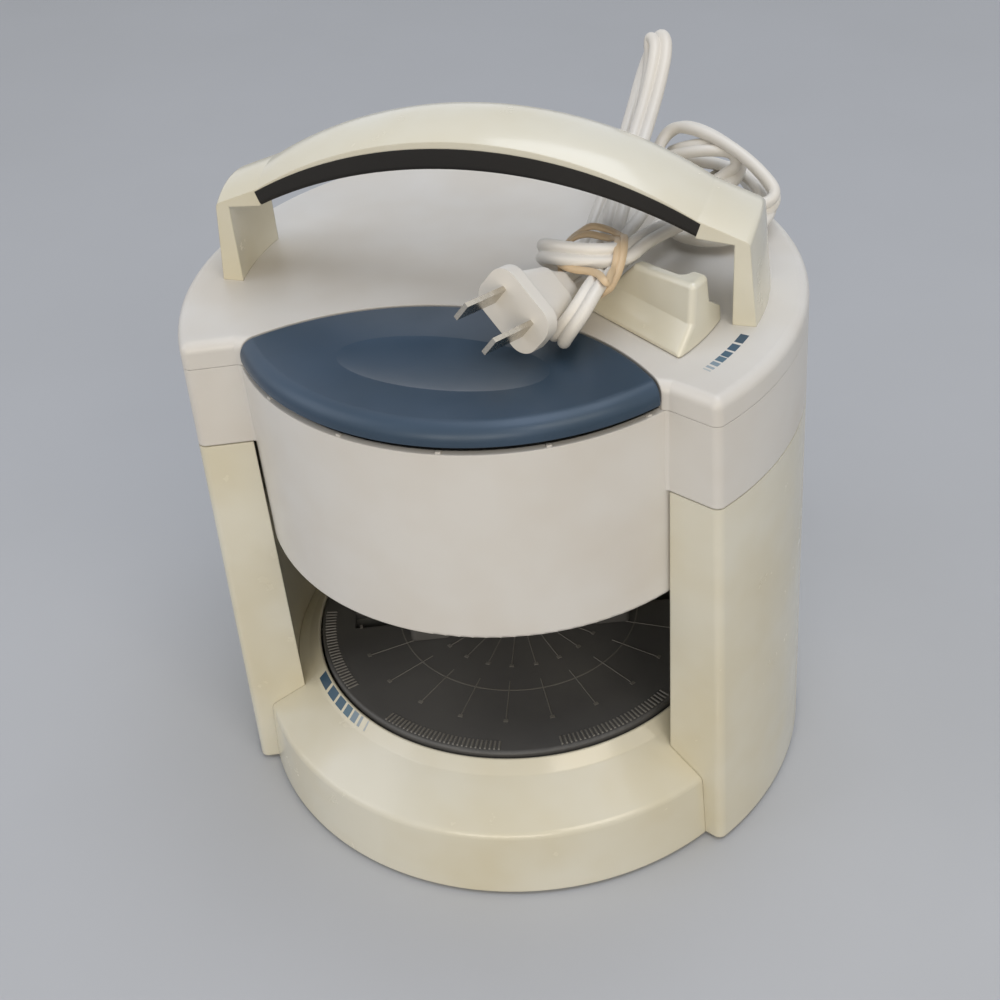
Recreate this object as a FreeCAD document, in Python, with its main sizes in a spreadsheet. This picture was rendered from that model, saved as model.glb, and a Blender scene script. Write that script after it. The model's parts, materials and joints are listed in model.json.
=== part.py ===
import FreeCAD, Part
import math
import os
import sys
from FreeCAD import Placement, Rotation, Vector

# An electric jar opener: a C-shaped stand with a turntable, and a head that slides up on two rods.
# Millimetres. X is to the right, Y to the back, Z up. The turntable's axis is x = 0, y = -axis_shift,
# so that the middle of the object's footprint is the origin.

SIZES = [
    # outer form
    ("deck_radius", 100.0, "flat top, radius"),
    ("foot_radius", 104.7, "outer wall at the floor, radius"),
    ("deck_height", 184.0, "flat top, height"),
    ("feet_height", 1.5, "rubber feet show below the shells"),
    ("cap_drop", 9, "seam under the deck plate below the deck"),
    ("head_band", 38.3, "top of the stand below the deck"),
    ("lift_gap", 0.5, "gap between the stand and the lowered head"),
    ("wall", 2.5, "wall of the outer shells"),
    ("fit_gap", 0.3, "gap between pieces that are assembled loosely"),
    ("face_gap", 0.1, "gap between shells that meet"),
    ("running_gap", 0.05, "radial gap of a shaft in its hole"),
    ("post_edge_angle", 36.0, "inner edge of a front post, below the X axis, degrees"),
    ("post_face_angle", 23.0, "slant of a post's front face, degrees"),
    ("post_corner", 3.0, "rounding of a post's outer corner"),
    ("deck_edge", 3.5, "rounding of the deck's edge"),
    # base
    ("base_radius", 98.7, "apron at the floor, radius"),
    ("ridge_radius", 97.0, "apron's ridge, radius"),
    ("ridge_height", 28.0, "apron's ridge, height"),
    ("ring_width", 5.6, "ring round the turntable, from the mat to its outer edge"),
    ("ring_height", 38.6, "ring round the turntable, height of its outer edge"),
    ("ring_rise", 4.6, "rise of the ring towards the turntable"),
    ("plate_thickness", 2.5, "bottom plate"),
    ("foot_pad_radius", 7.0, "rubber foot, radius"),
    ("foot_circle", 84.0, "circle of the rubber feet, radius"),
    # jar bay
    ("bay_radius", 84.0, "inner wall of the jar bay, radius"),
    ("liner_wall", 1.5, "wall of the bay liner"),
    ("liner_bottom", 26.0, "lower edge of the bay liner"),
    # turntable
    ("table_radius", 74.0, "turntable mat, radius"),
    ("table_height", 44.0, "turntable mat, top"),
    ("mat_thickness", 3.2, "turntable mat"),
    ("disc_thickness", 6.0, "turntable disc"),
    ("skirt_wall", 4.0, "turntable disc's skirt"),
    ("spindle_radius", 6.0, "spindle"),
    ("spindle_flange", 12.0, "spindle's flange, radius"),
    ("thrust_radius", 58.0, "thrust ring, outer radius"),
    ("thrust_width", 8.0, "thrust ring, width"),
    ("thrust_height", 4.0, "thrust ring, height"),
    ("table_gear_height", 8.0, "turntable gear, height"),
    ("base_module", 1.5, "module of the turntable gear"),
    ("table_teeth", 111, "teeth of the turntable gear"),
    ("gear_room_gap", 0.8, "gap between that gear and the housing"),
    ("tube_teeth", 10, "teeth of the drive tube's pinion"),
    ("jaw_line_angle", 20.0, "line of the jar jaws at rest, degrees"),
    ("jar_jaw_middle", 33.0, "middle of a jar jaw at rest, from the axis"),
    ("jar_jaw_thickness", 15.0, "jar jaw along its slide"),
    ("jar_jaw_width", 29.0, "jar jaw across its slide"),
    ("jar_jaw_height", 20.0, "jar jaw above the mat"),
    ("jar_travel_in", 8.0, "jar jaw's travel towards the axis"),
    ("jar_travel_out", 22.0, "jar jaw's travel away from the axis"),
    ("jar_lead", 40.0, "jar scroll, travel per turn"),
    ("scroll_thickness", 4.0, "scroll plates"),
    ("scroll_radius", 60.0, "jar scroll, radius"),
    ("pin_radius", 2.0, "pin of a jaw in its scroll"),
    ("neck_width", 8.0, "neck of a jaw in its slot"),
    ("neck_length", 12.0, "neck of a jaw along its slot"),
    ("foot_block", 16.0, "foot of a jaw under its plate, length and width"),
    ("foot_block_height", 5.5, "foot of a jaw, height"),
    ("pad_thickness", 2.0, "rubber pad of a jaw"),
    # drum and head
    ("drum_radius", 83.0, "drum, outer radius"),
    ("drum_drop", 79.5, "lower edge of the drum below the deck"),
    ("drum_edge", 1.6, "rounding of the drum's lower edge"),
    ("ledge_width", 5.0, "ledges inside the drum"),
    ("carrier_thickness", 3.5, "jaw carrier"),
    ("carrier_rim", 6.0, "rim on the jaw carrier, height"),
    ("motor_gap", 2.5, "gap between that rim and the motor"),
    ("frame_drop", 18.0, "underside of the inner frame below the flat top"),
    ("frame_thickness", 3.0, "inner frame"),
    ("rod_radius", 3.5, "guide rods, radius"),
    ("rod_circle", 91.5, "guide rods, distance from the axis"),
    ("rod_bottom", 24.0, "lower end of the guide rods"),
    ("rod_seat", 10.0, "height of the sockets that hold the guide rods"),
    ("bush_radius", 5.5, "guide bushes, outer radius"),
    ("bush_length", 20.0, "guide bushes, length"),
    ("boss_wall", 2.0, "wall of the bosses"),
    # gears in the head
    ("head_module", 1.0, "module of the head's gears"),
    ("motor_teeth", 12, "teeth of the motor pinion"),
    ("idler_teeth", 20, "teeth of the idler gear"),
    ("output_teeth", 10, "teeth of the output gear"),
    ("gear_thickness", 5.0, "head's gears, thickness"),
    ("idler_axle_radius", 1.5, "idler's axle"),
    ("hex_flats", 5.0, "drive rod, across flats"),
    ("hex_gap", 0.08, "gap of the drive rod in its tube"),
    ("tube_radius", 4.8, "drive tube, outer radius"),
    ("tube_pin_radius", 2.0, "drive tube's pin"),
    ("drive_rod_bottom", 22.0, "lower end of the drive rod"),
    ("motor_radius", 16.0, "motor can, radius"),
    ("motor_length", 16.0, "motor can, length"),
    ("gearbox_radius", 17.0, "gearbox, radius"),
    ("gearbox_length", 14.0, "gearbox, length"),
    ("motor_shaft_radius", 2.0, "motor's output shaft"),
    # release lever and lid jaws
    ("release_shaft_radius", 5.0, "release shaft"),
    ("lid_scroll_radius", 38.0, "lid scroll, radius"),
    ("lid_lead", 120.0, "lid scroll, travel per turn"),
    ("lid_jaw_middle", 27.0, "middle of a lid jaw at rest, from the axis"),
    ("lid_jaw_drop", 17.5, "lower end of a lid jaw below the jaw carrier"),
    ("lid_jaw_thickness", 8.0, "lid jaw along its slide"),
    ("lid_jaw_width", 30.0, "lid jaw across its slide"),
    ("release_angle", 10.0, "turn of the release lever, degrees"),
    ("lever_line_angle", 34.7, "front face of the lever, below the X axis, degrees"),
    ("lever_line_offset", 9.4, "distance of that face behind the axis"),
    ("lever_reach", 77.0, "outer end of the lever, radius"),
    ("lever_fin_height", 20.0, "fin of the lever above the deck"),
    ("lever_fin_width", 3.8, "fin of the lever at its top"),
    ("lever_lean", 8.3, "fin's top edge behind its foot"),
    ("lever_pad_width", 7.9, "thick outer end of the fin, at its top"),
    ("lever_flare_height", 7.8, "flare at the fin's foot, height above the deck"),
    ("lever_flare", 6.3, "that flare's depth"),
    ("lever_plate_height", 5.0, "rear edge of the lever's foot"),
    ("lever_depth", 23.6, "foot of the lever, behind its front line"),
    ("lever_fin_start", 48.5, "inner end of the fin's top along the lever"),
    ("lever_fin_drop", 3.0, "inner end of the fin's top below its outer end"),
    ("lever_slope", 15.0, "inner end of the fin's foot from that of its top"),
    ("lever_edge", 1.8, "rounding of the lever's edges"),
    ("lever_post_circle", 58.0, "post of the lever, distance from the axis"),
    ("lever_post_radius", 3.0, "post of the lever, radius"),
    ("arm_thickness", 2.8, "arm of the release shaft"),
    # start button
    ("button_apex", 17.6, "rear edge of the button in front of the axis"),
    ("button_skirt_drop", 6.4, "lower edge of the button below the deck"),
    ("button_travel", 1.8, "travel of the button"),
    ("button_edge", 5.0, "rounding of the button's edge"),
    ("button_stem_x", 30.0, "stems of the button, from the middle"),
    ("button_stem_y", 52.0, "stems of the button, in front of the axis"),
    ("button_stem_radius", 2.5, "stems of the button, radius"),
    ("recess_length", 66.0, "thumb recess, length"),
    ("recess_width", 28.0, "thumb recess, width"),
    ("recess_depth", 1.4, "thumb recess, depth"),
    ("recess_place", 50.0, "thumb recess, in front of the axis"),
    ("rim_rib_height", 0.5, "small ribs on the drum's rim"),
    # handle
    ("handle_half_width", 14.5, "half of the handle's width"),
    ("handle_rise", 56.3, "top of the handle above the deck"),
    ("handle_crown", 3.2, "rise of the handle's crown"),
    ("arch_radius", 134.0, "outer arc of the handle"),
    ("arch_half_span", 70.0, "half span of that arc"),
    ("grip_cover", 5.3, "handle above the grip insert, at the middle"),
    ("grip_top_radius", 141.4, "upper arc of the grip insert"),
    ("grip_thickness", 7.0, "grip insert, at the middle"),
    ("grip_bottom_radius", 152.9, "lower arc of the grip insert"),
    ("grip_half_span", 68.5, "half span of the grip insert"),
    ("leg_inner_radius", 81.2, "inner face of the handle's legs, radius"),
    ("leg_outer_radius", 88.2, "outer face of the handle's legs at the deck"),
    ("shoulder_radius", 85.6, "outer face of the handle's legs at the shoulders"),
    ("shoulder_drop", 29.0, "side edges of the shoulders below the top of the handle"),
    ("shoulder_bend", 69.0, "where the arch flattens into a shoulder, from the middle"),
    ("shoulder_edge", 2.2, "rounding of the shoulders"),
    ("shoulder_web", 0.7, "side edges of the shoulders above their underside"),
    # cord
    ("cord_width", 8.0, "flat cord, width"),
    ("relief_angle", 80.0, "strain relief's place round the axis, degrees"),
    ("relief_drop", 26, "middle of the strain relief below the deck"),
    ("relief_length", 22.0, "strain relief outside the wall"),
    ("relief_tip_radius", 4.2, "strain relief's tip, radius"),
    ("blade_spacing", 12.7, "plug blades, centre to centre"),
    ("blade_length", 17.5, "plug blades, length"),
    ("blade_width", 6.3, "plug blades, width"),
    ("blade_thickness", 1.5, "plug blades, thickness"),
    ("screw_radius", 1.5, "screws"),
    ("screw_head_radius", 2.8, "screw heads"),
    ("screw_head_height", 1.4, "screw heads, height"),
]

doc = FreeCAD.newDocument("jar_opener")
sheet = doc.addObject("Spreadsheet::Sheet", "Sizes")
for row, (alias, value, note) in enumerate(SIZES, start=1):
    sheet.set(f"A{row}", note)
    sheet.set(f"B{row}", str(value))
    sheet.setAlias(f"B{row}", alias)
doc.recompute()


class Size:
    """A number together with the expression that binds it to the spreadsheet."""

    def __init__(self, number, text):
        self.number, self.text = number, text

    def __float__(self):
        return float(self.number)

    def __add__(self, other):
        return combine(self, "+", other, float(self) + float(other))

    def __sub__(self, other):
        return combine(self, "-", other, float(self) - float(other))

    def __mul__(self, other):
        return combine(self, "*", other, float(self) * float(other))

    def __truediv__(self, other):
        return combine(self, "/", other, float(self) / float(other))

    def __radd__(self, other):
        return as_size(other) + self

    def __rsub__(self, other):
        return as_size(other) - self

    def __rmul__(self, other):
        return as_size(other) * self

    def __neg__(self):
        return as_size(0) - self


def as_size(value):
    return value if isinstance(value, Size) else Size(float(value), f"{float(value):.6g}")


def combine(left, sign, right, number):
    return Size(number, f"({left.text} {sign} {as_size(right).text})")


class SizeTable:
    """Every alias of the spreadsheet as an attribute."""

    def __init__(self):
        for alias, _, _ in SIZES:
            setattr(self, alias, Size(float(sheet.get(alias)), f"Sizes.{alias}"))


s = SizeTable()

UP = Vector(0, 0, 1)
nodes = []


def number(value):
    return float(value)


def bind(obj, prop, value):
    obj.setExpression(prop, as_size(value).text)


def outer_radius(height):
    """The outer wall's radius at a height: it tapers from the floor to the deck."""
    return s.foot_radius - (s.foot_radius - s.deck_radius) * height / s.deck_height


def polar(radius, degrees, height=0.0):
    turn = math.radians(number(degrees))
    return Vector(number(radius) * math.cos(turn), number(radius) * math.sin(turn), number(height))


def sine(degrees):
    return Size(math.sin(math.radians(float(degrees))), f"sin({as_size(degrees).text})")


def cosine(degrees):
    return Size(math.cos(math.radians(float(degrees))), f"cos({as_size(degrees).text})")


# what belongs to the head is set from the deck, and the ring round the turntable from its mat
cap_seam_height = s.deck_height - s.cap_drop
lift_seam_height = s.deck_height - s.head_band
drum_bottom = s.deck_height - s.drum_drop
button_skirt = s.deck_height - s.button_skirt_drop
relief_height = s.deck_height - s.relief_drop
handle_top = s.deck_height + s.handle_rise
grip_top = handle_top - s.grip_cover
grip_bottom = grip_top - s.grip_thickness
shoulder_height = handle_top - s.shoulder_drop
web_height = shoulder_height - s.shoulder_web
ring_radius = s.table_radius + s.ring_width

# the strain relief's tip is the rearmost point, and the apron's foot the foremost
relief_reach = outer_radius(relief_height) + s.relief_length
rear_reach = relief_reach * sine(s.relief_angle) + s.relief_tip_radius * cosine(s.relief_angle)
axis_shift = (rear_reach - s.base_radius) / 2

# the inner frame hangs from the deck, the motor from the frame, and the jaw carrier is just below it
frame_height = s.deck_height - s.frame_drop
carrier_rim_top = frame_height - s.gearbox_length - s.motor_length - s.motor_gap
carrier_height = carrier_rim_top - s.carrier_rim - s.carrier_thickness
lid_jaw_bottom = carrier_height - s.lid_jaw_drop


def node(obj, label, behind=0.0):
    """Gives an object its place in the part, and keeps it as the sub-part of that name.

    behind is the distance of the object's own axis behind the turntable's.
    """
    obj.Label = label
    bind(obj, "Placement.Base.y", behind - axis_shift)
    nodes.append(obj)
    return obj


def feature(label, shape, behind=0.0):
    """A sub-part whose own shape was worked out from the sheet."""
    obj = doc.addObject("Part::Feature", label)
    obj.Shape = shape
    return node(obj, label, behind)


def helper(name, shape):
    """A solid that only serves to cut or trim others."""
    obj = doc.addObject("Part::Feature", name)
    obj.Shape = shape
    return obj


def cylinder(name, radius, height, z=0.0, x=0.0, y=0.0):
    obj = doc.addObject("Part::Cylinder", name)
    bind(obj, "Radius", radius)
    bind(obj, "Height", height)
    for axis, value in zip("xyz", (x, y, z)):
        bind(obj, f"Placement.Base.{axis}", value)
    return obj


def cone(name, bottom_radius, top_radius, height, z=0.0):
    obj = doc.addObject("Part::Cone", name)
    bind(obj, "Radius1", bottom_radius)
    bind(obj, "Radius2", top_radius)
    bind(obj, "Height", height)
    bind(obj, "Placement.Base.z", z)
    return obj


def box(name, length, width, height, x=0.0, y=0.0, z=0.0):
    obj = doc.addObject("Part::Box", name)
    for prop, value in zip(("Length", "Width", "Height"), (length, width, height)):
        bind(obj, prop, value)
    for axis, value in zip("xyz", (x, y, z)):
        bind(obj, f"Placement.Base.{axis}", value)
    return obj


def fuse(name, *parts):
    obj = doc.addObject("Part::MultiFuse", name)
    obj.Shapes = list(parts)
    return obj


def cut(name, base, *tools):
    obj = doc.addObject("Part::Cut", name)
    obj.Base = base
    obj.Tool = tools[0] if len(tools) == 1 else fuse(name + "_tools", *tools)
    return obj


def common(name, first, second):
    obj = doc.addObject("Part::Common", name)
    obj.Base, obj.Tool = first, second
    return obj


def group(name, *parts):
    obj = doc.addObject("Part::Compound", name)
    obj.Links = list(parts)
    return obj


def rounded(name, base, radius, chosen):
    """A fillet on the edges of base that the test chosen(edge) picks."""
    doc.recompute()
    picked = [i for i, edge in enumerate(base.Shape.Edges, start=1) if chosen(edge)]
    obj = doc.addObject("Part::Fillet", name)
    obj.Base = base
    obj.Edges = [(i, number(radius), number(radius)) for i in picked]
    return obj


def turned(name, outline, *fillets):
    """A PartDesign body: an outline of (radius, height) points revolved about the vertical axis.

    Each fillet is (radius, height, rounding) and rounds the edge that lies there.
    """
    body = doc.addObject("PartDesign::Body", name)
    plane = next(o for o in body.Origin.OriginFeatures if o.Role == "XZ_Plane")
    sketch = body.newObject("Sketcher::SketchObject", name + "_outline")
    sketch.AttachmentSupport = (plane, "")
    sketch.MapMode = "FlatFace"
    draw_outline(sketch, outline)
    revolution = body.newObject("PartDesign::Revolution", name + "_turn")
    revolution.Profile = sketch
    revolution.ReferenceAxis = (sketch, ["V_Axis"])
    revolution.Angle = 360
    for count, (radius, height, rounding) in enumerate(fillets):
        doc.recompute()
        last = body.Tip
        at = [
            f"Edge{i}"
            for i, edge in enumerate(last.Shape.Edges, start=1)
            if lies_on_circle(edge, number(radius), number(height))
        ]
        fillet = body.newObject("PartDesign::Fillet", f"{name}_fillet{count}")
        fillet.Base = (last, at)
        bind(fillet, "Radius", rounding)
    return body


def lies_on_circle(edge, radius, height):
    """True if every vertex and the middle of the edge lie on that level circle round the axis."""
    middle = edge.valueAt((edge.FirstParameter + edge.LastParameter) / 2)
    spots = [v.Point for v in edge.Vertexes] + [middle]
    return all(
        abs(math.hypot(p.x, p.y) - radius) < 0.01 and abs(p.z - height) < 0.01 for p in spots
    )


def draw_outline(sketch, outline):
    """Closed straight outline whose corners are dimensioned from the sketch's origin."""
    import Sketcher

    corners = [Vector(number(x), number(y), 0) for x, y in outline]
    count = len(corners)
    for i in range(count):
        sketch.addGeometry(Part.LineSegment(corners[i], corners[(i + 1) % count]))
    for i in range(count):
        sketch.addConstraint(Sketcher.Constraint("Coincident", i, 2, (i + 1) % count, 1))
    for i, (x, y) in enumerate(outline):
        for kind, axis, value in (("DistanceX", -2, x), ("DistanceY", -1, y)):
            if number(value) == 0:
                sketch.addConstraint(Sketcher.Constraint("PointOnObject", i, 1, axis))
            else:
                at = sketch.addConstraint(Sketcher.Constraint(kind, -1, 1, i, 1, number(value)))
                bind(sketch, f"Constraints[{at}]", value)


def tube(name, outer, inner, bottom, height):
    """A turned ring with a square section."""
    top = bottom + height
    return turned(name, [(inner, bottom), (outer, bottom), (outer, top), (inner, top)])


# ---------------------------------------------------------------- shared outer form

def post_face(side, inset):
    """Two points on a front post's face, moved back by inset; side is 1 on the right."""
    slant = math.radians(number(s.post_face_angle))
    edge = polar(s.bay_radius, -s.post_edge_angle)
    back = Vector(math.sin(slant), math.cos(slant), 0) * inset
    near = edge + back
    far = near + Vector(math.cos(slant), -math.sin(slant), 0) * number(s.foot_radius)
    return Vector(side * near.x, near.y, 0), Vector(side * far.x, far.y, 0)


def front_space(inset=0.0):
    """Everything in front of the posts' faces, as one prism; inset moves the faces back."""
    right_near, right_far = post_face(1, inset)
    left_near, left_far = post_face(-1, inset)
    depth = -2.0 * number(s.foot_radius)
    corners = [
        left_near,
        right_near,
        right_far,
        Vector(right_far.x, depth, 0),
        Vector(left_far.x, depth, 0),
        left_far,
    ]
    face = Part.Face(Part.makePolygon(corners + corners[:1]))
    low = -number(s.deck_height)
    face.translate(Vector(0, 0, low))
    return face.extrude(Vector(0, 0, -3 * low))


def outer_block(name, bottom, top, inset=0.0):
    """The tapered round block of the outer form between two heights, drawn in by inset."""
    return cone(name, outer_radius(bottom) - inset, outer_radius(top) - inset, top - bottom, bottom)


def shell_space(name, bottom, top, inset):
    """The room inside a C-shaped shell whose walls are inset thick."""
    return cut(
        name,
        outer_block(name + "_block", bottom, top, inset),
        helper(name + "_front", front_space(number(inset))),
    )


def behind_posts(name, gap, radius):
    """Everything outside a radius and behind the posts' faces, less a gap in front of them."""
    return cut(
        name,
        cylinder(name + "_block", s.foot_radius + 5, s.deck_height + 10, -5),
        helper(name + "_front", front_space(-number(gap))),
        cylinder(name + "_bay", radius, s.deck_height + 12, -6),
    )


def upright_corner(edge):
    """True for a steep edge at a post's outer corner."""
    if len(edge.Vertexes) != 2:
        return False
    low, high = sorted((v.Point for v in edge.Vertexes), key=lambda p: p.z)
    outside = math.hypot(low.x, low.y) > number(s.deck_radius) - 1
    return high.z - low.z > 1 and outside and low.y < 0


# ---------------------------------------------------------------- stand

def screw(head_centre, length, down=True):
    """A pan-head screw; its head's outer face is at head_centre, its shank runs the other way."""
    way = 1 if down else -1
    axis = Vector(0, 0, way)
    head = Part.makeCylinder(
        number(s.screw_head_radius), number(s.screw_head_height), head_centre, axis
    )
    start = head_centre + axis * number(s.screw_head_height)
    return head.fuse(Part.makeCylinder(number(s.screw_radius), length, start, axis))


plate_top = s.feet_height + s.plate_thickness
FOOT_ANGLES = (50, 130, 230, 310)
BASE_SCREW_ANGLES = (45, 135, 228, 312)
RIM_RIB_ANGLES = (-150, -128, -106, -84, -62, -40)


def base_screw_spot(angle):
    """Screw bosses: near the outer wall at the back, inside the apron in front."""
    radius = outer_radius(s.feet_height) - 7.2 if angle < 180 else s.base_radius - 8.2
    return polar(radius, angle, plate_top)


def make_bottom_plate():
    clear = s.wall + s.fit_gap
    rear = shell_space("plate_rear", s.feet_height, plate_top, clear)
    front = cut(
        "plate_front",
        cylinder("plate_disc", s.base_radius - clear, s.plate_thickness, s.feet_height),
        behind_posts("plate_behind", s.fit_gap, s.bay_radius - s.fit_gap),
    )
    whole = fuse("plate_whole", rear, front)
    holes = []
    for i, angle in enumerate(BASE_SCREW_ANGLES):
        spot = base_screw_spot(angle)
        holes.append(
            cylinder(f"plate_hole{i}", s.screw_radius, s.plate_thickness + 2, s.feet_height - 1,
                     spot.x, spot.y)
        )
        holes.append(
            cylinder(f"plate_sink{i}", s.screw_head_radius, s.screw_head_height + 1.1,
                     s.feet_height - 1, spot.x, spot.y)
        )
    return node(cut("bottom_plate", whole, *holes), "bottom_plate")


def make_rubber_feet():
    pads = []
    for i, angle in enumerate(FOOT_ANGLES):
        spot = polar(s.foot_circle, angle)
        pads.append(cylinder(f"foot{i}", s.foot_pad_radius, s.feet_height, 0, spot.x, spot.y))
    return node(group("rubber_feet", *pads), "rubber_feet")


def apron_under(radius):
    """The height of the underside of the apron's slope at a radius."""
    share = (radius - ring_radius + 1) / (s.ridge_radius - s.wall - ring_radius + 1)
    return s.ring_height - s.wall - (s.ring_height - s.ridge_height) * share


def make_base_shell():
    opening = s.table_radius + 0.8
    outline = [
        (s.base_radius, s.feet_height),
        (s.ridge_radius, s.ridge_height),
        (ring_radius, s.ring_height),
        (opening, s.ring_height + s.ring_rise),
        (opening, s.ring_height + s.ring_rise - s.wall),
        (ring_radius - 1, s.ring_height - s.wall),
        (s.ridge_radius - s.wall, s.ridge_height - s.wall),
        (s.base_radius - s.wall, s.feet_height),
    ]
    shell = turned(
        "base_turned",
        outline,
        (s.ridge_radius, s.ridge_height, 3.0),
        (ring_radius, s.ring_height, 2.0),
        (opening, s.ring_height + s.ring_rise, 0.6),
    )
    behind = behind_posts("base_behind", s.face_gap, s.bay_radius - s.face_gap)
    bosses = []
    for i, angle in enumerate(BASE_SCREW_ANGLES[2:]):
        spot = base_screw_spot(angle)
        height = apron_under(s.base_radius - 8.2) - plate_top
        boss = cylinder(f"base_boss{i}", 3.6, height, plate_top, spot.x, spot.y)
        bore = cylinder(f"base_bore{i}", s.screw_radius, 12, plate_top - 1, spot.x, spot.y)
        bosses.append(cut(f"base_boss_bored{i}", boss, bore))
    return node(
        fuse("base_shell", cut("base_trimmed", shell, behind), *bosses), "base_shell"
    )


def make_rear_housing():
    top = lift_seam_height
    outside = cut(
        "rear_outside",
        outer_block("rear_block", s.feet_height, top),
        helper("rear_front", front_space()),
        cylinder("rear_bay", s.bay_radius, s.deck_height, 0),
    )
    soft = rounded("rear_rounded", outside, s.post_corner, upright_corner)
    room = shell_space("rear_room", s.feet_height - 1, top - s.wall, s.wall)
    shell = cut("rear_shell", soft, room)
    bosses, holes = [], []
    for i, side in enumerate((-1, 1)):
        x = side * s.rod_circle
        length = s.bush_length - s.wall
        bosses.append(
            cylinder(f"rear_bush_boss{i}", s.bush_radius + s.boss_wall, length + 1,
                     top - s.bush_length, x)
        )
        holes.append(
            cylinder(f"rear_bush_hole{i}", s.bush_radius, s.bush_length + 2,
                     top - s.bush_length - 1, x)
        )
    bosses.append(
        cylinder("rear_tube_boss", s.tube_radius + 1.6, 12, top - s.wall - 11, 0, drive_offset)
    )
    holes.append(
        cylinder("rear_tube_hole", s.tube_radius + s.running_gap, 20, top - s.wall - 20.3,
                 0, drive_offset)
    )
    holes.append(cylinder("rear_rod_hole", s.hex_flats * 0.62 + 0.4, 10, top - 5, 0, drive_offset))
    for i, angle in enumerate(BASE_SCREW_ANGLES[:2]):
        spot = base_screw_spot(angle)
        bosses.append(cylinder(f"rear_boss{i}", 4.6, 26, plate_top, spot.x, spot.y))
        holes.append(cylinder(f"rear_bore{i}", s.screw_radius, 13, plate_top - 1, spot.x, spot.y))
    inside = cut(
        "rear_bosses",
        fuse("rear_boss_all", *bosses),
        cylinder("rear_boss_bay", s.bay_radius + s.liner_wall + 0.15, s.deck_height, 0),
    )
    tip_radius = s.base_module * (s.table_teeth + 2) / 2
    holes.append(
        cylinder("rear_gear_room", tip_radius + s.gear_room_gap, gear_top + s.gear_room_gap)
    )
    return node(
        cut("rear_housing", fuse("rear_with_bosses", shell, inside), *holes), "rear_housing"
    )


def make_bay_liner():
    inner, outer = s.bay_radius, s.bay_radius + s.liner_wall
    top = lift_seam_height - s.wall - s.face_gap
    ledge = ring_radius + 1
    ledge_top, wall_top = (apron_under(r) - s.fit_gap for r in (ledge, inner))
    outline = [
        (outer, s.liner_bottom),
        (outer, top),
        (inner, top),
        (inner, wall_top),
        (ledge, ledge_top),
        (ledge, ledge_top - 2.0),
        (inner, wall_top - 2.0),
        (inner, s.liner_bottom),
    ]
    body = turned("liner_turned", outline)
    front = helper("liner_front", front_space(number(s.wall + s.face_gap)))
    return node(cut("bay_liner", body, front), "bay_liner")


def make_spindle():
    top = scroll_bottom + s.scroll_thickness + 2
    flange_top = plate_top + 2.0
    body = turned(
        "spindle",
        [
            (0, plate_top),
            (s.spindle_flange, plate_top),
            (s.spindle_flange, flange_top),
            (s.spindle_radius, flange_top),
            (s.spindle_radius, top),
            (0, top),
        ],
    )
    return node(body, "spindle")


def make_thrust_ring():
    ring = tube(
        "thrust_ring", s.thrust_radius, s.thrust_radius - s.thrust_width, plate_top, s.thrust_height
    )
    return node(ring, "thrust_ring")


def make_guide_bushes():
    bushes = []
    for i, side in enumerate((-1, 1)):
        x = side * s.rod_circle
        bottom = lift_seam_height - s.bush_length
        bushes.append(
            cut(
                f"bush{i}",
                cylinder(f"bush_outside{i}", s.bush_radius, s.bush_length, bottom, x),
                cylinder(f"bush_bore{i}", s.rod_radius + s.running_gap, s.bush_length + 2,
                         bottom - 1, x),
            )
        )
    return node(group("guide_bushes", *bushes), "guide_bushes")


def make_base_screws():
    screws = [
        screw(base_screw_spot(angle) - UP * (number(s.plate_thickness) - 0.1), 8.0)
        for angle in BASE_SCREW_ANGLES
    ]
    return feature("base_screws", Part.makeCompound(screws))


# ---------------------------------------------------------------- gears

PRESSURE = math.radians(20)


def involute(base, radius):
    """Polar angle of an involute of the base circle, where it reaches a radius."""
    if radius <= base:
        return 0.0
    roll = math.acos(base / radius)
    return math.tan(roll) - roll


def gear_wire(module, teeth, addendum, dedendum, slack, first_tooth):
    """The outline of a spur gear: involute flanks, flat tips and roots.

    first_tooth is the direction of one tooth's middle in degrees; slack thins each tooth.
    """
    pitch = module * teeth / 2
    base = pitch * math.cos(PRESSURE)
    tip, root = pitch + addendum * module, pitch - dedendum * module
    half = (math.pi * module / 2 - slack) / 2 / pitch
    start = max(root, base)
    radii = [start + (tip - start) * i / 3 for i in range(4)]
    flank = [(r, half + involute(base, pitch) - involute(base, r)) for r in radii]
    if root < base:
        flank.insert(0, (root, flank[0][1]))
    points = []
    for k in range(teeth):
        middle = math.radians(first_tooth) + 2 * math.pi * k / teeth
        for radius, angle in flank:
            points.append(polar(radius, math.degrees(middle - angle)))
        for radius, angle in reversed(flank):
            points.append(polar(radius, math.degrees(middle + angle)))
    return Part.makePolygon(points + points[:1])


def gear_solid(wire, bottom, height):
    face = Part.Face(wire)
    face.translate(Vector(0, 0, bottom))
    return face.extrude(Vector(0, 0, height))


def hexagon(flats, bottom, height):
    corner = flats / math.sqrt(3)
    points = [polar(corner, 60 * k) for k in range(7)]
    face = Part.Face(Part.makePolygon(points))
    face.translate(Vector(0, 0, bottom))
    return face.extrude(Vector(0, 0, height))


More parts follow.
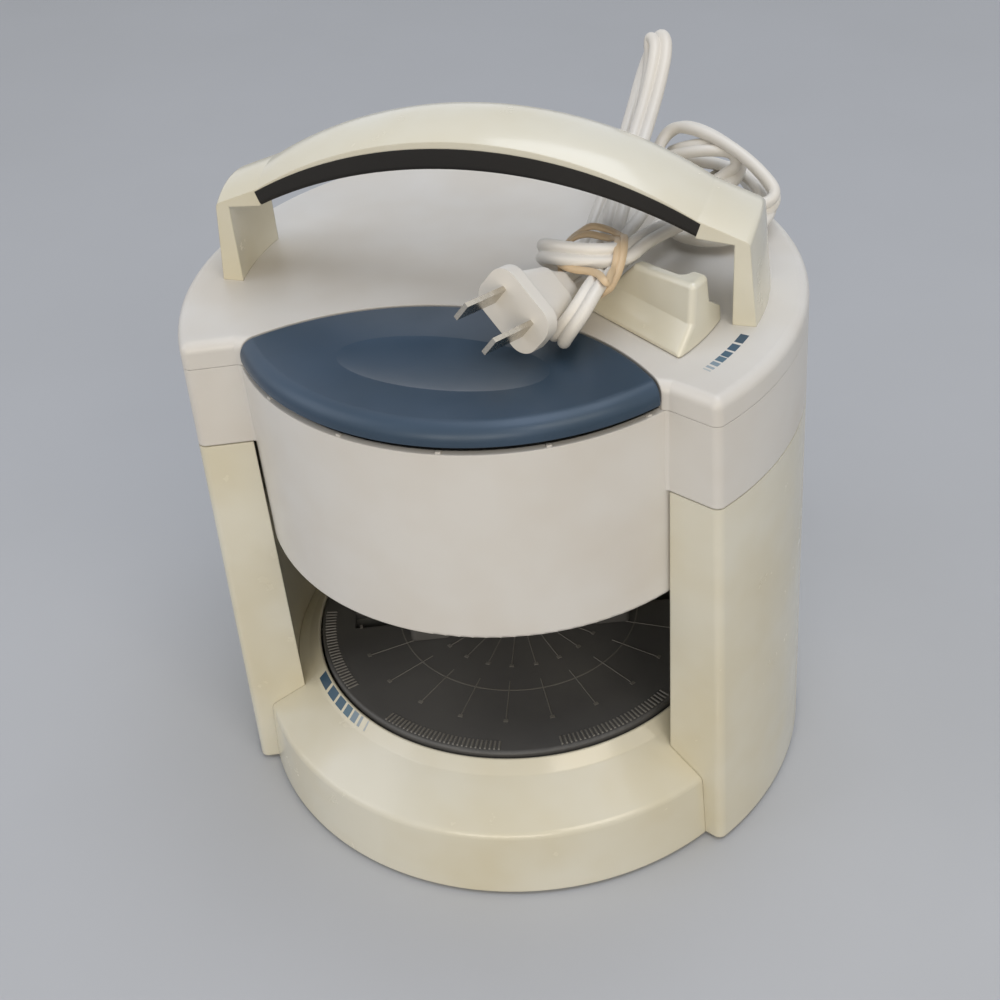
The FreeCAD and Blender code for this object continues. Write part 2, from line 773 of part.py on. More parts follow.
ADDENDUM, DEDENDUM, BACKLASH = 0.75, 1.15, 0.3
table_pitch = s.base_module * s.table_teeth / 2
tube_pitch = s.base_module * s.tube_teeth / 2
drive_offset = table_pitch + tube_pitch
output_pitch = s.head_module * s.output_teeth / 2
idler_pitch = s.head_module * s.idler_teeth / 2
motor_pitch = s.head_module * s.motor_teeth / 2
idler_offset = drive_offset - output_pitch - idler_pitch
motor_offset = idler_offset - idler_pitch - motor_pitch
gear_bottom = plate_top + s.thrust_height + s.fit_gap
gear_top = gear_bottom + s.table_gear_height
scroll_bottom = gear_top + 1.8
disc_bottom = s.table_height - s.mat_thickness - s.disc_thickness
frame_top = frame_height + s.frame_thickness
head_gear_bottom = frame_top + 0.6


def make_turntable_gear():
    wire = gear_wire(
        number(s.base_module), int(number(s.table_teeth)), ADDENDUM, DEDENDUM, BACKLASH, 90
    )
    blank = gear_solid(wire, number(gear_bottom), number(s.table_gear_height))
    rim_inner = number(s.table_radius - s.skirt_wall) - 4
    web = 3.0
    trough = Part.makeCylinder(rim_inner, 50, Vector(0, 0, number(gear_bottom) + web))
    hub_radius = number(s.spindle_radius) + 6
    hub = Part.makeCylinder(
        hub_radius, number(scroll_bottom - gear_bottom) - 0.2, Vector(0, 0, number(gear_bottom))
    )
    bore = Part.makeCylinder(number(s.spindle_radius + s.running_gap), 100)
    screws = table_screws(number(gear_bottom) - 1, number(gear_top) + 1, 3.0)
    shape = blank.cut(trough).fuse(hub).cut(bore).cut(screws)
    return feature("turntable_gear", shape.removeSplitter())


def jaw_slot(bottom, height):
    """The two slots for the jaws' necks, one each side of the axis."""
    inner = number(s.jar_jaw_middle - s.jar_travel_in) - number(s.neck_length) / 2 - 0.4
    outer = number(s.jar_jaw_middle + s.jar_travel_out) + number(s.neck_length) / 2 + 0.4
    width = number(s.neck_width) + 0.4
    slots = [
        Part.makeBox(outer - inner, width, height, Vector(start, -width / 2, bottom))
        for start in (inner, -outer)
    ]
    return turned_to_jaws(slots[0].fuse(slots[1]))


def turned_to_jaws(shape):
    shape.rotate(Vector(), UP, number(s.jaw_line_angle))
    return shape


def make_turntable_disc():
    radius = number(s.table_radius) - 0.3
    inner = number(s.table_radius - s.skirt_wall)
    low, plate = number(gear_top), number(disc_bottom)
    body = Part.makeCylinder(radius, plate + number(s.disc_thickness) - low, Vector(0, 0, low))
    room = Part.makeCylinder(inner, plate - low, Vector(0, 0, low))
    body = body.cut(room).cut(jaw_slot(0, 100))
    return feature("turntable_disc", body.cut(table_screws(low, low + 10.2, 0)))


def table_screws(bottom, top, head_height):
    """Thin screws from under the gear up into the disc's skirt."""
    radius = number(s.table_radius) - 0.3 - number(s.skirt_wall) / 2
    parts = []
    for angle in (30, 120, 210, 300):
        at = polar(radius, angle, bottom)
        parts.append(Part.makeCylinder(1.0, top - bottom, at))
        if head_height:
            parts.append(Part.makeCylinder(2.0, head_height, at))
    return parts[0].multiFuse(parts[1:])


def make_turntable_mat():
    thickness = number(s.mat_thickness)
    low = number(s.table_height) - thickness
    disc = Part.makeCylinder(number(s.table_radius), thickness, Vector(0, 0, low))
    edges = [e for e in disc.Edges if lies_on_circle(e, number(s.table_radius), low + thickness)]
    disc = disc.makeFillet(1.0, edges)
    return feature("turntable_mat", disc.cut(jaw_slot(0, 100)))


def make_turntable_screws():
    low = number(gear_bottom) + 0.4
    return feature("turntable_screws", table_screws(low, number(gear_top) + 10, 1.6))


def spiral_slot(middle, lead, first, last, width, bottom, height):
    """A slot whose middle line is a spiral: at angle -t its radius is middle + lead*t/360."""
    def point(t, side):
        radius = middle + lead * t / 360
        outward = polar(1, -t)
        along = Vector(outward.y, -outward.x, 0) * radius + outward * (lead / (2 * math.pi))
        along.normalize()
        sideways = Vector(-along.y, along.x, 0)
        return outward * radius + sideways * (side * width / 2), along

    steps = max(3, int(abs(last - first) / 15) + 1)
    turns = [first + (last - first) * i / steps for i in range(steps + 1)]
    left = Part.BSplineCurve()
    left.interpolate([point(t, 1)[0] for t in turns])
    right = Part.BSplineCurve()
    right.interpolate([point(t, -1)[0] for t in reversed(turns)])
    end_middle, end_way = point(last, 0)
    start_middle, start_way = point(first, 0)
    end = Part.Arc(point(last, 1)[0], end_middle + end_way * (width / 2), point(last, -1)[0])
    start = Part.Arc(
        point(first, -1)[0], start_middle - start_way * (width / 2), point(first, 1)[0]
    )
    wire = Part.Wire([left.toShape(), end.toShape(), right.toShape(), start.toShape()])
    face = Part.Face(wire)
    face.translate(Vector(0, 0, bottom))
    return face.extrude(Vector(0, 0, height))


def make_jar_scroll():
    low, thickness = number(scroll_bottom), number(s.scroll_thickness)
    plate = Part.makeCylinder(number(s.scroll_radius), thickness, Vector(0, 0, low))
    bore = Part.makeCylinder(number(s.spindle_radius + s.running_gap), 100)
    lead = number(s.jar_lead)
    slot = spiral_slot(
        number(s.jar_jaw_middle),
        lead,
        -360 * number(s.jar_travel_in) / lead - 3,
        360 * number(s.jar_travel_out) / lead + 3,
        2 * number(s.pin_radius) + 0.3,
        low - 1,
        thickness + 2,
    )
    other = slot.copy()
    other.rotate(Vector(), UP, 180)
    return feature("jar_scroll", turned_to_jaws(plate.cut(bore).cut(slot).cut(other)))


def jar_jaw(side):
    """A jar jaw with its neck, foot and pin, drawn on the X axis; side is 1 on the right."""
    top = number(s.table_height)
    middle = side * number(s.jar_jaw_middle)
    length, width = number(s.jar_jaw_thickness), number(s.jar_jaw_width)
    lift = 0.3
    block = Part.makeBox(
        length, width, number(s.jar_jaw_height), Vector(middle - length / 2, -width / 2, top + lift)
    )
    upright = [
        e for e in block.Edges
        if abs(e.Vertexes[0].Point.z - e.Vertexes[-1].Point.z) > 1
    ]
    block = block.makeFillet(2.0, upright)
    block = block.makeChamfer(1.0, [e for e in block.Edges if at_height(e, top + lift + number(s.jar_jaw_height))])
    pad = number(s.pad_thickness)
    recess = Part.makeBox(
        pad, width - 8, 100, Vector(middle - side * length / 2 - (pad if side < 0 else 0), -(width - 8) / 2, top + 4)
    )
    block = block.cut(recess)
    neck_low = number(disc_bottom) - 0.3
    neck = Part.makeBox(
        number(s.neck_length), number(s.neck_width), top + 1 - neck_low,
        Vector(middle - number(s.neck_length) / 2, -number(s.neck_width) / 2, neck_low),
    )
    foot_size, foot_high = number(s.foot_block), number(s.foot_block_height)
    foot = Part.makeBox(
        foot_size, foot_size, foot_high,
        Vector(middle - foot_size / 2, -foot_size / 2, neck_low - foot_high),
    )
    pin_low = number(scroll_bottom) + 0.3
    pin = Part.makeCylinder(
        number(s.pin_radius), neck_low - pin_low - 1, Vector(middle, 0, pin_low)
    )
    return turned_to_jaws(block.fuse([neck, foot, pin]).removeSplitter())


def at_height(edge, height):
    return all(abs(v.Point.z - height) < 1e-3 for v in edge.Vertexes)


def jar_pad(side):
    """The rubber pad in a jar jaw's inner face."""
    top = number(s.table_height)
    middle = side * number(s.jar_jaw_middle)
    inner = middle - side * number(s.jar_jaw_thickness) / 2
    width = number(s.jar_jaw_width) - 8
    pad = number(s.pad_thickness)
    height = number(s.jar_jaw_height) + 0.3 - 4
    block = Part.makeBox(
        pad, width, height, Vector(inner - (pad if side < 0 else 0), -width / 2, top + 4)
    )
    return turned_to_jaws(block)


# ---------------------------------------------------------------- drive train

def make_drive_tube():
    low = number(plate_top) + 0.3
    top = number(lift_seam_height - s.wall) - 1.0
    wire = gear_wire(
        number(s.base_module), int(number(s.tube_teeth)), ADDENDUM, DEDENDUM, BACKLASH,
        -90 + 180 / number(s.tube_teeth),
    )
    pinion = gear_solid(wire, number(gear_bottom), number(s.table_gear_height))
    stem = Part.makeCylinder(number(s.tube_radius), top - low, Vector(0, 0, low))
    floor = number(gear_top) + 1
    hollow = hexagon(number(s.hex_flats) + 2 * number(s.hex_gap), floor, 300)
    pin_bore = Part.makeCylinder(
        number(s.tube_pin_radius + s.running_gap), 9, Vector(0, 0, low - 1)
    )
    shape = stem.fuse(pinion).cut(hollow).cut(pin_bore).removeSplitter()
    return feature("drive_tube", shape, drive_offset)


def make_drive_tube_pin():
    pin = cylinder("drive_tube_pin", s.tube_pin_radius, 6.0, plate_top)
    return node(pin, "drive_tube_pin", drive_offset)


def make_drive_rod():
    top = number(head_gear_bottom + s.gear_thickness) + 1.5
    low = number(s.drive_rod_bottom)
    rod = hexagon(number(s.hex_flats), low, top - low)
    return feature("drive_rod", rod, drive_offset)


def head_gear(label, teeth, first_tooth, offset, bore):
    wire = gear_wire(
        number(s.head_module), int(number(teeth)), ADDENDUM, DEDENDUM, BACKLASH, first_tooth
    )
    blank = gear_solid(wire, number(head_gear_bottom), number(s.gear_thickness))
    return feature(label, blank.cut(bore), offset)


def make_head_gears():
    head_gear(
        "output_gear", s.output_teeth, -90 + 180 / number(s.output_teeth), drive_offset,
        hexagon(number(s.hex_flats), 0, 400),
    )
    head_gear(
        "idler_gear", s.idler_teeth, 90, idler_offset,
        Part.makeCylinder(number(s.idler_axle_radius + s.running_gap), 400),
    )


def make_motor_pinion():
    """The pinion with the gearbox's output shaft; a space faces the idler's tooth."""
    teeth = int(number(s.motor_teeth))
    wire = gear_wire(
        number(s.head_module), teeth, ADDENDUM, DEDENDUM, BACKLASH, 90 + 180 / teeth
    )
    pinion = gear_solid(wire, number(head_gear_bottom), number(s.gear_thickness))
    low = number(frame_height) - 8
    top = number(head_gear_bottom + s.gear_thickness) + 1
    shaft = Part.makeCylinder(number(s.motor_shaft_radius), top - low, Vector(0, 0, low))
    return feature("motor_pinion", pinion.fuse(shaft).removeSplitter(), motor_offset)


def make_idler_axle():
    top = head_gear_bottom + s.gear_thickness + 0.8
    axle = cylinder("idler_axle", s.idler_axle_radius, top - frame_height, frame_height)
    return node(axle, "idler_axle", idler_offset)


def make_motor():
    low = frame_height - s.gearbox_length - s.motor_length
    can = turned(
        "motor",
        [
            (0, low),
            (s.motor_radius - 1.5, low),
            (s.motor_radius, low + 1.5),
            (s.motor_radius, low + s.motor_length),
            (0, low + s.motor_length),
        ],
    )
    return node(can, "motor", motor_offset)


def make_gearbox():
    low = frame_height - s.gearbox_length
    bore = s.motor_shaft_radius + s.running_gap
    case = turned(
        "motor_gearbox",
        [
            (0, low),
            (s.gearbox_radius, low),
            (s.gearbox_radius, frame_height),
            (bore, frame_height),
            (bore, frame_height - 8.3),
            (0, frame_height - 8.3),
        ],
    )
    return node(case, "motor_gearbox", motor_offset)


def make_rod_bush():
    """The bearing under the output gear, in the floor of the head's band."""
    low = lift_seam_height + s.lift_gap + s.wall
    bore = s.hex_flats * 0.6 + s.running_gap
    ring = turned(
        "rod_bush",
        [
            (bore, low),
            (bore + 2.0, low),
            (bore + 2.0, head_gear_bottom - 0.1),
            (bore, head_gear_bottom - 0.1),
        ],
    )
    return node(ring, "rod_bush", drive_offset)


# ---------------------------------------------------------------- head

def make_upper_housing():
    low = lift_seam_height + s.lift_gap
    top = cap_seam_height
    band = cut(
        "band_outside", outer_block("band_block", low, top), helper("band_front", front_space())
    )
    soft = rounded("band_rounded", band, s.post_corner, upright_corner)
    room = shell_space("band_room", low + s.wall, top + 1, s.wall)
    inner = s.drum_radius - s.wall
    wall_outline = [
        (inner, drum_bottom),
        (s.drum_radius, drum_bottom),
        (s.drum_radius, top),
        (inner, top),
    ]
    drum = turned(
        "drum_turned", wall_outline, (s.drum_radius, drum_bottom, s.drum_edge)
    )
    ledge_low = carrier_height + s.carrier_thickness
    ledges = [
        tube("carrier_ledge", inner + 0.5, inner - s.ledge_width, ledge_low, 3.0),
        tube("frame_ledge", inner + 0.5, inner - s.ledge_width, frame_height - 3.0, 3.0),
    ]
    ledge_holes = [
        cylinder(f"ledge_hole{i}", s.screw_radius, 80, drum_bottom, spot.x, spot.y)
        for i, spot in enumerate(frame_screw_spots(0))
    ]
    bosses = []
    for i, side in enumerate((-1, 1)):
        bosses.append(
            cylinder(f"rod_socket{i}", s.rod_radius + s.boss_wall, s.rod_seat, low + s.wall,
                     side * s.rod_circle)
        )
    shell = fuse(
        "head_shell",
        cut("band_hollow", soft, room, cylinder("band_bay", inner + 0.5, 200, 0)),
        drum,
        *ledges,
        *bosses,
    )
    holes = [
        cylinder(f"rod_socket_hole{i}", s.rod_radius, s.rod_seat + s.wall + 2, low - 1,
                 side * s.rod_circle)
        for i, side in enumerate((-1, 1))
    ]
    holes.append(cylinder("drive_floor_hole", s.hex_flats * 0.62 + 0.4, 10, low - 3, 0, drive_offset))
    holes += ledge_holes
    holes.append(
        cylinder("motor_notch", s.gearbox_radius + s.fit_gap, 20, frame_height - 20,
                 0, motor_offset)
    )
    window_half = idler_pitch + 3
    holes.append(
        box("gear_window", 2 * window_half, 16, 20, -window_half, idler_offset - 4, frame_top + 0.1)
    )
    exit_axis = polar(1, s.relief_angle)
    start = polar(s.drum_radius + 1, s.relief_angle, relief_height)
    holes.append(helper("relief_hole", Part.makeCylinder(4.6, 30, start, exit_axis)))
    ribs = []
    for angle in RIM_RIB_ANGLES:
        at = polar(inner + s.wall / 2, angle, top)
        rib = Part.makeBox(1.6, 1.2, number(s.rim_rib_height), Vector(-0.8, -0.6, 0))
        rib.rotate(Vector(), UP, angle + 90)
        rib.translate(at)
        ribs.append(rib)
    rim_ribs = helper("rim_ribs", Part.makeCompound(ribs))
    return node(
        fuse("upper_housing", cut("head_holes", shell, *holes), rim_ribs), "upper_housing"
    )


def lens_cutter(name, extra, bottom, height):
    """The round that bounds the start button at the back."""
    middle = -(s.button_apex + s.drum_radius)
    return cylinder(name, s.drum_radius + extra, height, bottom, 0, middle)


def make_deck_plate():
    low = cap_seam_height + s.face_gap
    top = s.deck_height
    outside = cut(
        "deck_outside",
        outer_block("deck_block", low, top),
        helper("deck_front", front_space()),
        lens_cutter("deck_lens", s.fit_gap, low - 1, 50),
    )
    corners = rounded("deck_corners", outside, s.post_corner, upright_corner)

    def top_edge(edge):
        middle = edge.valueAt((edge.FirstParameter + edge.LastParameter) / 2)
        if not at_height(edge, number(top)):
            return False
        on_lens = abs(
            math.hypot(middle.x, middle.y + number(s.button_apex + s.drum_radius))
            - number(s.drum_radius + s.fit_gap)
        ) < 0.05
        return not on_lens

    soft = rounded("deck_soft", corners, s.deck_edge, top_edge)
    room = cut(
        "deck_room",
        shell_space("deck_space", low - 1, top - s.wall, s.wall),
        lens_cutter("deck_room_lens", s.fit_gap + s.wall, low - 2, 60),
    )
    shell = cut("deck_shell", soft, room)
    boss = cylinder(
        "shaft_boss", s.release_shaft_radius + s.boss_wall + 1, 4.5, top - s.wall - 3.5
    )
    bore = cylinder(
        "shaft_bore", s.release_shaft_radius + s.running_gap, 40, top - s.wall - 40.5
    )
    holes = [bore, helper("lever_slot", deck_slot())]
    for i, spot in enumerate(handle_screw_spots()):
        holes.append(cylinder(f"deck_screw_hole{i}", s.screw_radius, 20, top - 10, spot.x, spot.y))
    return node(cut("deck_plate", fuse("deck_bossed", shell, boss), *holes), "deck_plate")


def handle_screw_spots():
    radius = (s.leg_inner_radius + s.leg_outer_radius) / 2
    return [polar(radius, side + turn) for side in (0, 180) for turn in (-6, 6)]


def frame_screw_spots(height):
    radius = s.drum_radius - s.wall - s.screw_head_radius - 0.2
    return [polar(radius, angle, height) for angle in (20, 140, 220, 320)]


def make_inner_frame():
    plate = cylinder(
        "frame_disc", s.drum_radius - s.wall - 0.15, s.frame_thickness, frame_height
    )
    holes = [
        cylinder("frame_shaft_hole", s.release_shaft_radius + s.running_gap, 20, frame_height - 5),
        cylinder("frame_motor_hole", s.motor_shaft_radius + 0.3, 20, frame_height - 5,
                 0, motor_offset),
        cylinder("frame_axle_hole", s.idler_axle_radius, 20, frame_height - 5, 0, idler_offset),
    ]
    for i, side in enumerate((-1, 1)):
        holes.append(
            cylinder(f"frame_stem_hole{i}", s.button_stem_radius + s.running_gap, 20,
                     frame_height - 5, side * s.button_stem_x, -s.button_stem_y)
        )
    for i, spot in enumerate(frame_screw_spots(0)):
        holes.append(
            cylinder(f"frame_screw_hole{i}", s.screw_radius, 20, frame_height - 5, spot.x, spot.y)
        )
    return node(cut("inner_frame", plate, *holes), "inner_frame")


def lid_slots(bottom, height):
    travel = number(s.lid_lead) * number(s.release_angle) / 360
    half = number(s.neck_length) / 2
    inner = number(s.lid_jaw_middle) - half - 0.4
    outer = number(s.lid_jaw_middle) + travel + half + 0.4
    width = number(s.neck_width) + 0.4
    slots = [
        Part.makeBox(outer - inner, width, height, Vector(start, -width / 2, bottom))
        for start in (inner, -outer)
    ]
    return slots[0].fuse(slots[1])


def make_jaw_carrier():
    radius = number(s.drum_radius - s.wall) - 0.15
    low, thickness = number(carrier_height), number(s.carrier_thickness)
    plate = Part.makeCylinder(radius, thickness, Vector(0, 0, low))
    plate = plate.cut(lid_slots(low - 1, thickness + 2))
    rim_height = number(s.carrier_rim)
    rim = Part.makeCylinder(46, rim_height, Vector(0, 0, low + thickness)).cut(
        Part.makeCylinder(43, rim_height, Vector(0, 0, low + thickness))
    )
    for spot in frame_screw_spots(low - 1):
        plate = plate.cut(Part.makeCylinder(number(s.screw_radius), thickness + 2, spot))
    return feature("jaw_carrier", plate.fuse(rim).removeSplitter())


def make_frame_screws():
    """Screws through the inner frame and the jaw carrier into the drum's ledges."""
    screws = [screw(spot, 4.0, False) for spot in frame_screw_spots(frame_top + s.screw_head_height)]
    low = carrier_height - s.screw_head_height
    screws += [screw(spot, 4.0) for spot in frame_screw_spots(low)]
    return screws


arm_top = s.deck_height - s.wall - 3.9
carrier_top = carrier_height + s.carrier_thickness
lid_foot_low = carrier_top + 0.3
lid_scroll_bottom = lid_foot_low + s.foot_block_height + 0.5


def make_lid_scroll():
    low, thickness = number(lid_scroll_bottom), number(s.scroll_thickness)
    plate = Part.makeCylinder(number(s.lid_scroll_radius), thickness, Vector(0, 0, low))
    bore = Part.makeCylinder(number(s.release_shaft_radius), 300)
    slot = spiral_slot(
        number(s.lid_jaw_middle), number(s.lid_lead), -2, number(s.release_angle) + 2,
        2 * number(s.pin_radius) + 0.3, low - 1, thickness + 2,
    )
    other = slot.copy()
    other.rotate(Vector(), UP, 180)
    return feature("lid_scroll", plate.cut(bore).cut(slot).cut(other))


def lid_jaw(side):
    """A lid jaw below the carrier, its neck in the slot, its foot and pin above."""
    middle = side * number(s.lid_jaw_middle)
    length, width = number(s.lid_jaw_thickness), number(s.lid_jaw_width)
    low, high = number(lid_jaw_bottom), number(carrier_height) - 0.3
    block = Part.makeBox(length, width, high - low, Vector(middle - length / 2, -width / 2, low))
    upright = [
        e for e in block.Edges
        if abs(e.Vertexes[0].Point.z - e.Vertexes[-1].Point.z) > 1
    ]
    block = block.makeFillet(1.5, upright)
    shelf = Part.makeBox(
        number(s.neck_length) + 2, width - 6, 4,
        Vector(middle - number(s.neck_length) / 2 - 1, -(width - 6) / 2, high - 4),
    )
    neck = Part.makeBox(
        number(s.neck_length), number(s.neck_width), number(lid_foot_low) - high + 1,
        Vector(middle - number(s.neck_length) / 2, -number(s.neck_width) / 2, high - 0.5),
    )
    size = number(s.foot_block)
    foot = Part.makeBox(
        size, size, number(s.foot_block_height),
        Vector(middle - size / 2, -size / 2, number(lid_foot_low)),
    )
    pin_low = number(lid_foot_low + s.foot_block_height) - 1
    pin_top = number(lid_scroll_bottom + s.scroll_thickness)
    pin = Part.makeCylinder(number(s.pin_radius), pin_top - pin_low, Vector(middle, 0, pin_low))
    return block.fuse([shelf, neck, foot, pin]).removeSplitter()


def lid_pad(side):
    """The rubber pad on a lid jaw's inner face."""
    middle = side * number(s.lid_jaw_middle)
    pad = number(s.pad_thickness)
    inner = middle - side * number(s.lid_jaw_thickness) / 2
    width = number(s.lid_jaw_width) - 6
    low = number(lid_jaw_bottom) + 0.5
    height = number(carrier_height) - 0.3 - 4 - 0.5 - low
    return Part.makeBox(
        pad, width, height, Vector(inner - (pad if side > 0 else 0), -width / 2, low)
    )


def make_release_shaft():
    """The shaft of the lid scroll, with the arm that the lever's post drops into."""
    low, top = number(carrier_top) + 0.2, number(arm_top) + 3.0
    shaft = Part.makeCylinder(number(s.release_shaft_radius), top - low, Vector(0, 0, low))
    post = lever_post_spot()
    arm_low = number(arm_top - s.arm_thickness)
    arm = plan_bar(Vector(), post, 10.0, arm_low, number(s.arm_thickness))
    hole = Part.makeCylinder(number(s.lever_post_radius) + 0.05, 10, post + UP * (arm_low - 1))
    return feature("release_shaft", shaft.fuse(arm).cut(hole).removeSplitter())


def plan_bar(start, end, width, bottom, height):
    """A level bar with round ends."""
    across = (end - start).cross(UP).normalize() * (width / 2)
    face = Part.Face(Part.makePolygon([start + across, end + across, end - across, start - across, start + across]))
    bar = face.extrude(UP * height)
    ends = [Part.makeCylinder(width / 2, height, spot) for spot in (start, end)]
    bar = bar.fuse(ends)
    bar.translate(UP * bottom)
    return bar


def make_release_spring():
    """A torsion spring round the release shaft, on top of the inner frame."""
    wire_radius, pitch, turns = 0.6, 1.4, 3
    radius = number(s.release_shaft_radius) + 2.0
    foot = UP * (number(frame_top) + 0.05)
    height = pitch * turns + 2 * wire_radius
    return feature("release_spring", coil_spring(foot, height, radius, wire_radius, turns))


# ---------------------------------------------------------------- release lever

def lever_point(along, behind):
    """A point of the lever's plan: along its front line, and behind that line."""
    turn = math.radians(-number(s.lever_line_angle))
    way = Vector(math.cos(turn), math.sin(turn), 0)
    back = Vector(-math.sin(turn), math.cos(turn), 0)
    return way * along + back * (number(s.lever_line_offset) + behind)


def lever_post_spot():
    """The lever's post, which goes down through the deck's slot."""
    offset = number(s.lever_line_offset) + 5.1
    return lever_point(math.sqrt(number(s.lever_post_circle) ** 2 - offset**2), 5.1)


def lever_bar(outline, first, last):
    """A bar along the lever's line; its outline is of (distance behind the line, height) points."""
    section = [lever_point(first, behind) + UP * z for behind, z in outline]
    face = Part.Face(Part.makePolygon(section + section[:1]))
    return face.extrude(lever_point(last, 0) - lever_point(first, 0))


def lever_profile(outline):
    """A slab across the lever's line; its outline is of (distance along the line, height) points."""
    corners = [lever_point(along, -20) + UP * z for along, z in outline]
    face = Part.Face(Part.makePolygon(corners + corners[:1]))
    return face.extrude(lever_point(0, 60) - lever_point(0, -20))


def make_release_lever():
    """A fin on a foot that flares out before and behind it, with a thick outer end."""
    low, top = number(s.deck_height) + 0.3, number(s.deck_height + s.lever_fin_height)
    reach, depth = number(s.lever_reach), number(s.lever_depth)
    lean, thick, pad = (number(v) for v in (s.lever_lean, s.lever_fin_width, s.lever_pad_width))
    flare = number(s.lever_flare)
    flare_top = number(s.deck_height + s.lever_flare_height)
    rear_top = number(s.deck_height + s.lever_plate_height)
    start, slope = number(s.lever_fin_start), number(s.lever_slope)
    first, last = start - slope - 1, reach + 5
    front = [(0, low), (0, low + 1), (flare, flare_top), (lean, top)]
    rear = [(depth, rear_top), (depth, low)]
    fin = lever_bar(
        front + [(lean + thick, top), (lean + thick + 1, flare_top + 2)] + rear, first, last
    )
    grip = lever_bar(
        front + [(lean + pad, top), (lean + pad + 1, flare_top + 2)] + rear, reach - 11.5, last
    )
    side = lever_profile([
        (start - slope, low), (start, top - number(s.lever_fin_drop)), (reach, top),
        (last, top), (last, low),
    ])
    round_end = Part.makeCone(reach, reach - 1.2, top - low, Vector(0, 0, low))
    round_end.rotate(Vector(), UP, 180)
    upper = fin.fuse(grip).removeSplitter().common(side).common(round_end).removeSplitter()
    lowest_top = top - number(s.lever_fin_drop) - 0.3
    soft = [
        e for e in upper.Edges
        if any(v.Z > lowest_top for v in e.Vertexes)
        or sorted(round(v.Z, 3) for v in e.Vertexes) == [round(low + 1, 3), round(flare_top, 3)]
    ]
    upper = upper.makeFillet(number(s.lever_edge), soft)
    spot = lever_post_spot()
    post_low = number(arm_top - s.arm_thickness)
    post = Part.makeCylinder(
        number(s.lever_post_radius), low + 2 - post_low, spot + UP * post_low
    )
    return feature("release_lever", upper.fuse(post).removeSplitter())


def deck_slot():
    """The curved slot in the deck for the lever's post."""
    spot = lever_post_spot()
    middle = number(s.lever_post_circle)
    half = number(s.lever_post_radius) + 0.5
    first = math.degrees(math.atan2(spot.y, spot.x))
    turn = number(s.release_angle)
    low = number(s.deck_height) - 20
    sector = Part.makeCylinder(middle + half, 40, Vector(0, 0, low), UP, turn)
    sector = sector.cut(Part.makeCylinder(middle - half, 40, Vector(0, 0, low)))
    sector.rotate(Vector(), UP, first)
    ends = [Part.makeCylinder(half, 40, polar(middle, first + a, low)) for a in (0, turn)]
    return sector.fuse(ends)


# ---------------------------------------------------------------- start button

def lens(front_radius, rear_gap, bottom, height):
    """A lens in plan between the drum's front and the deck's rear arc."""
    radius = number(s.drum_radius)
    front = Part.makeCylinder(front_radius, height, Vector(0, 0, bottom))
    middle = -number(s.button_apex + s.drum_radius)
    rear = Part.makeCylinder(radius - rear_gap, height, Vector(0, middle, bottom))
    return front.common(rear)


def make_start_button():
    low, top = number(button_skirt), number(s.deck_height)
    gap = number(s.fit_gap)
    outer = lens(number(s.drum_radius), gap, low, top - low)
    trim = Part.makeBox(400, 300, 400, Vector(-200, -300, 0))
    body = outer.common(trim)
    upper = [e for e in body.Edges if at_height(e, top) and on_front(e)]
    body = body.makeFillet(number(s.button_edge), upper)
    rear = [e for e in body.Edges if at_height(e, top) and not on_front(e)]
    body = body.makeFillet(0.8, rear)
    inner = lens(number(s.drum_radius) - 2.2, gap + 2.2, low - 1, top - 2.4 - low + 1)
    body = body.cut(inner)
    body = body.cut(thumb_recess(top))
    stems = []
    for side in (-1, 1):
        at = Vector(side * number(s.button_stem_x), -number(s.button_stem_y), number(frame_height) - 2)
        stems.append(Part.makeCylinder(number(s.button_stem_radius), top - 2 - at.z, at))
    post = Part.makeCylinder(3.0, top - 2 - low, Vector(0, -50, low))
    return feature("start_button", body.fuse(stems + [post]).removeSplitter())


def thumb_recess(top):
    """A shallow oval hollow in the button's top."""
    length, width, depth = (number(v) for v in (s.recess_length, s.recess_width, s.recess_depth))
    ball = Part.makeSphere(1.0)
    squeeze = FreeCAD.Matrix()
    squeeze.scale(length / 2 * 1.25, width / 2 * 1.25, depth * 2.5)
    oval = ball.transformGeometry(squeeze)
    oval.translate(Vector(0, -number(s.recess_place), top + depth * 1.5))
    return oval


def on_front(edge):
    middle = edge.valueAt((edge.FirstParameter + edge.LastParameter) / 2)
    return abs(math.hypot(middle.x, middle.y) - number(s.drum_radius)) < 0.05


def coil_spring(foot, height, radius, wire_radius, turns):
    """A coil spring of six-sided wire, standing upright on foot."""
    steps = 14 * turns
    rise = height - 2 * wire_radius
    rings = []
    for i in range(steps + 1):
        outward = polar(1, 360 * turns * i / steps)
        middle = foot + outward * radius + UP * (wire_radius + rise * i / steps)
        corners = [polar(wire_radius, 60 * k) for k in range(6)]
        rings.append([middle + outward * c.x + UP * c.y for c in corners])
    faces = [Part.Face(Part.makePolygon(ring + ring[:1])) for ring in (rings[0], rings[-1])]
    for low, high in zip(rings, rings[1:]):
        for k in range(6):
            a, b, c, d = low[k], low[(k + 1) % 6], high[(k + 1) % 6], high[k]
            for corners in ((a, b, c), (a, c, d)):
                faces.append(Part.Face(Part.makePolygon([*corners, corners[0]])))
    return Part.Solid(Part.Shell(faces))


def make_button_springs():
    low = number(frame_top) + 0.05
    height = number(s.deck_height) - 2.4 - low - 0.05
    y = -number(s.button_stem_y)
    coils = [
        coil_spring(Vector(side * number(s.button_stem_x), y, low), height, 3.8, 0.5, 5)
        for side in (-1, 1)
    ]
    return feature("button_springs", Part.makeCompound(coils))


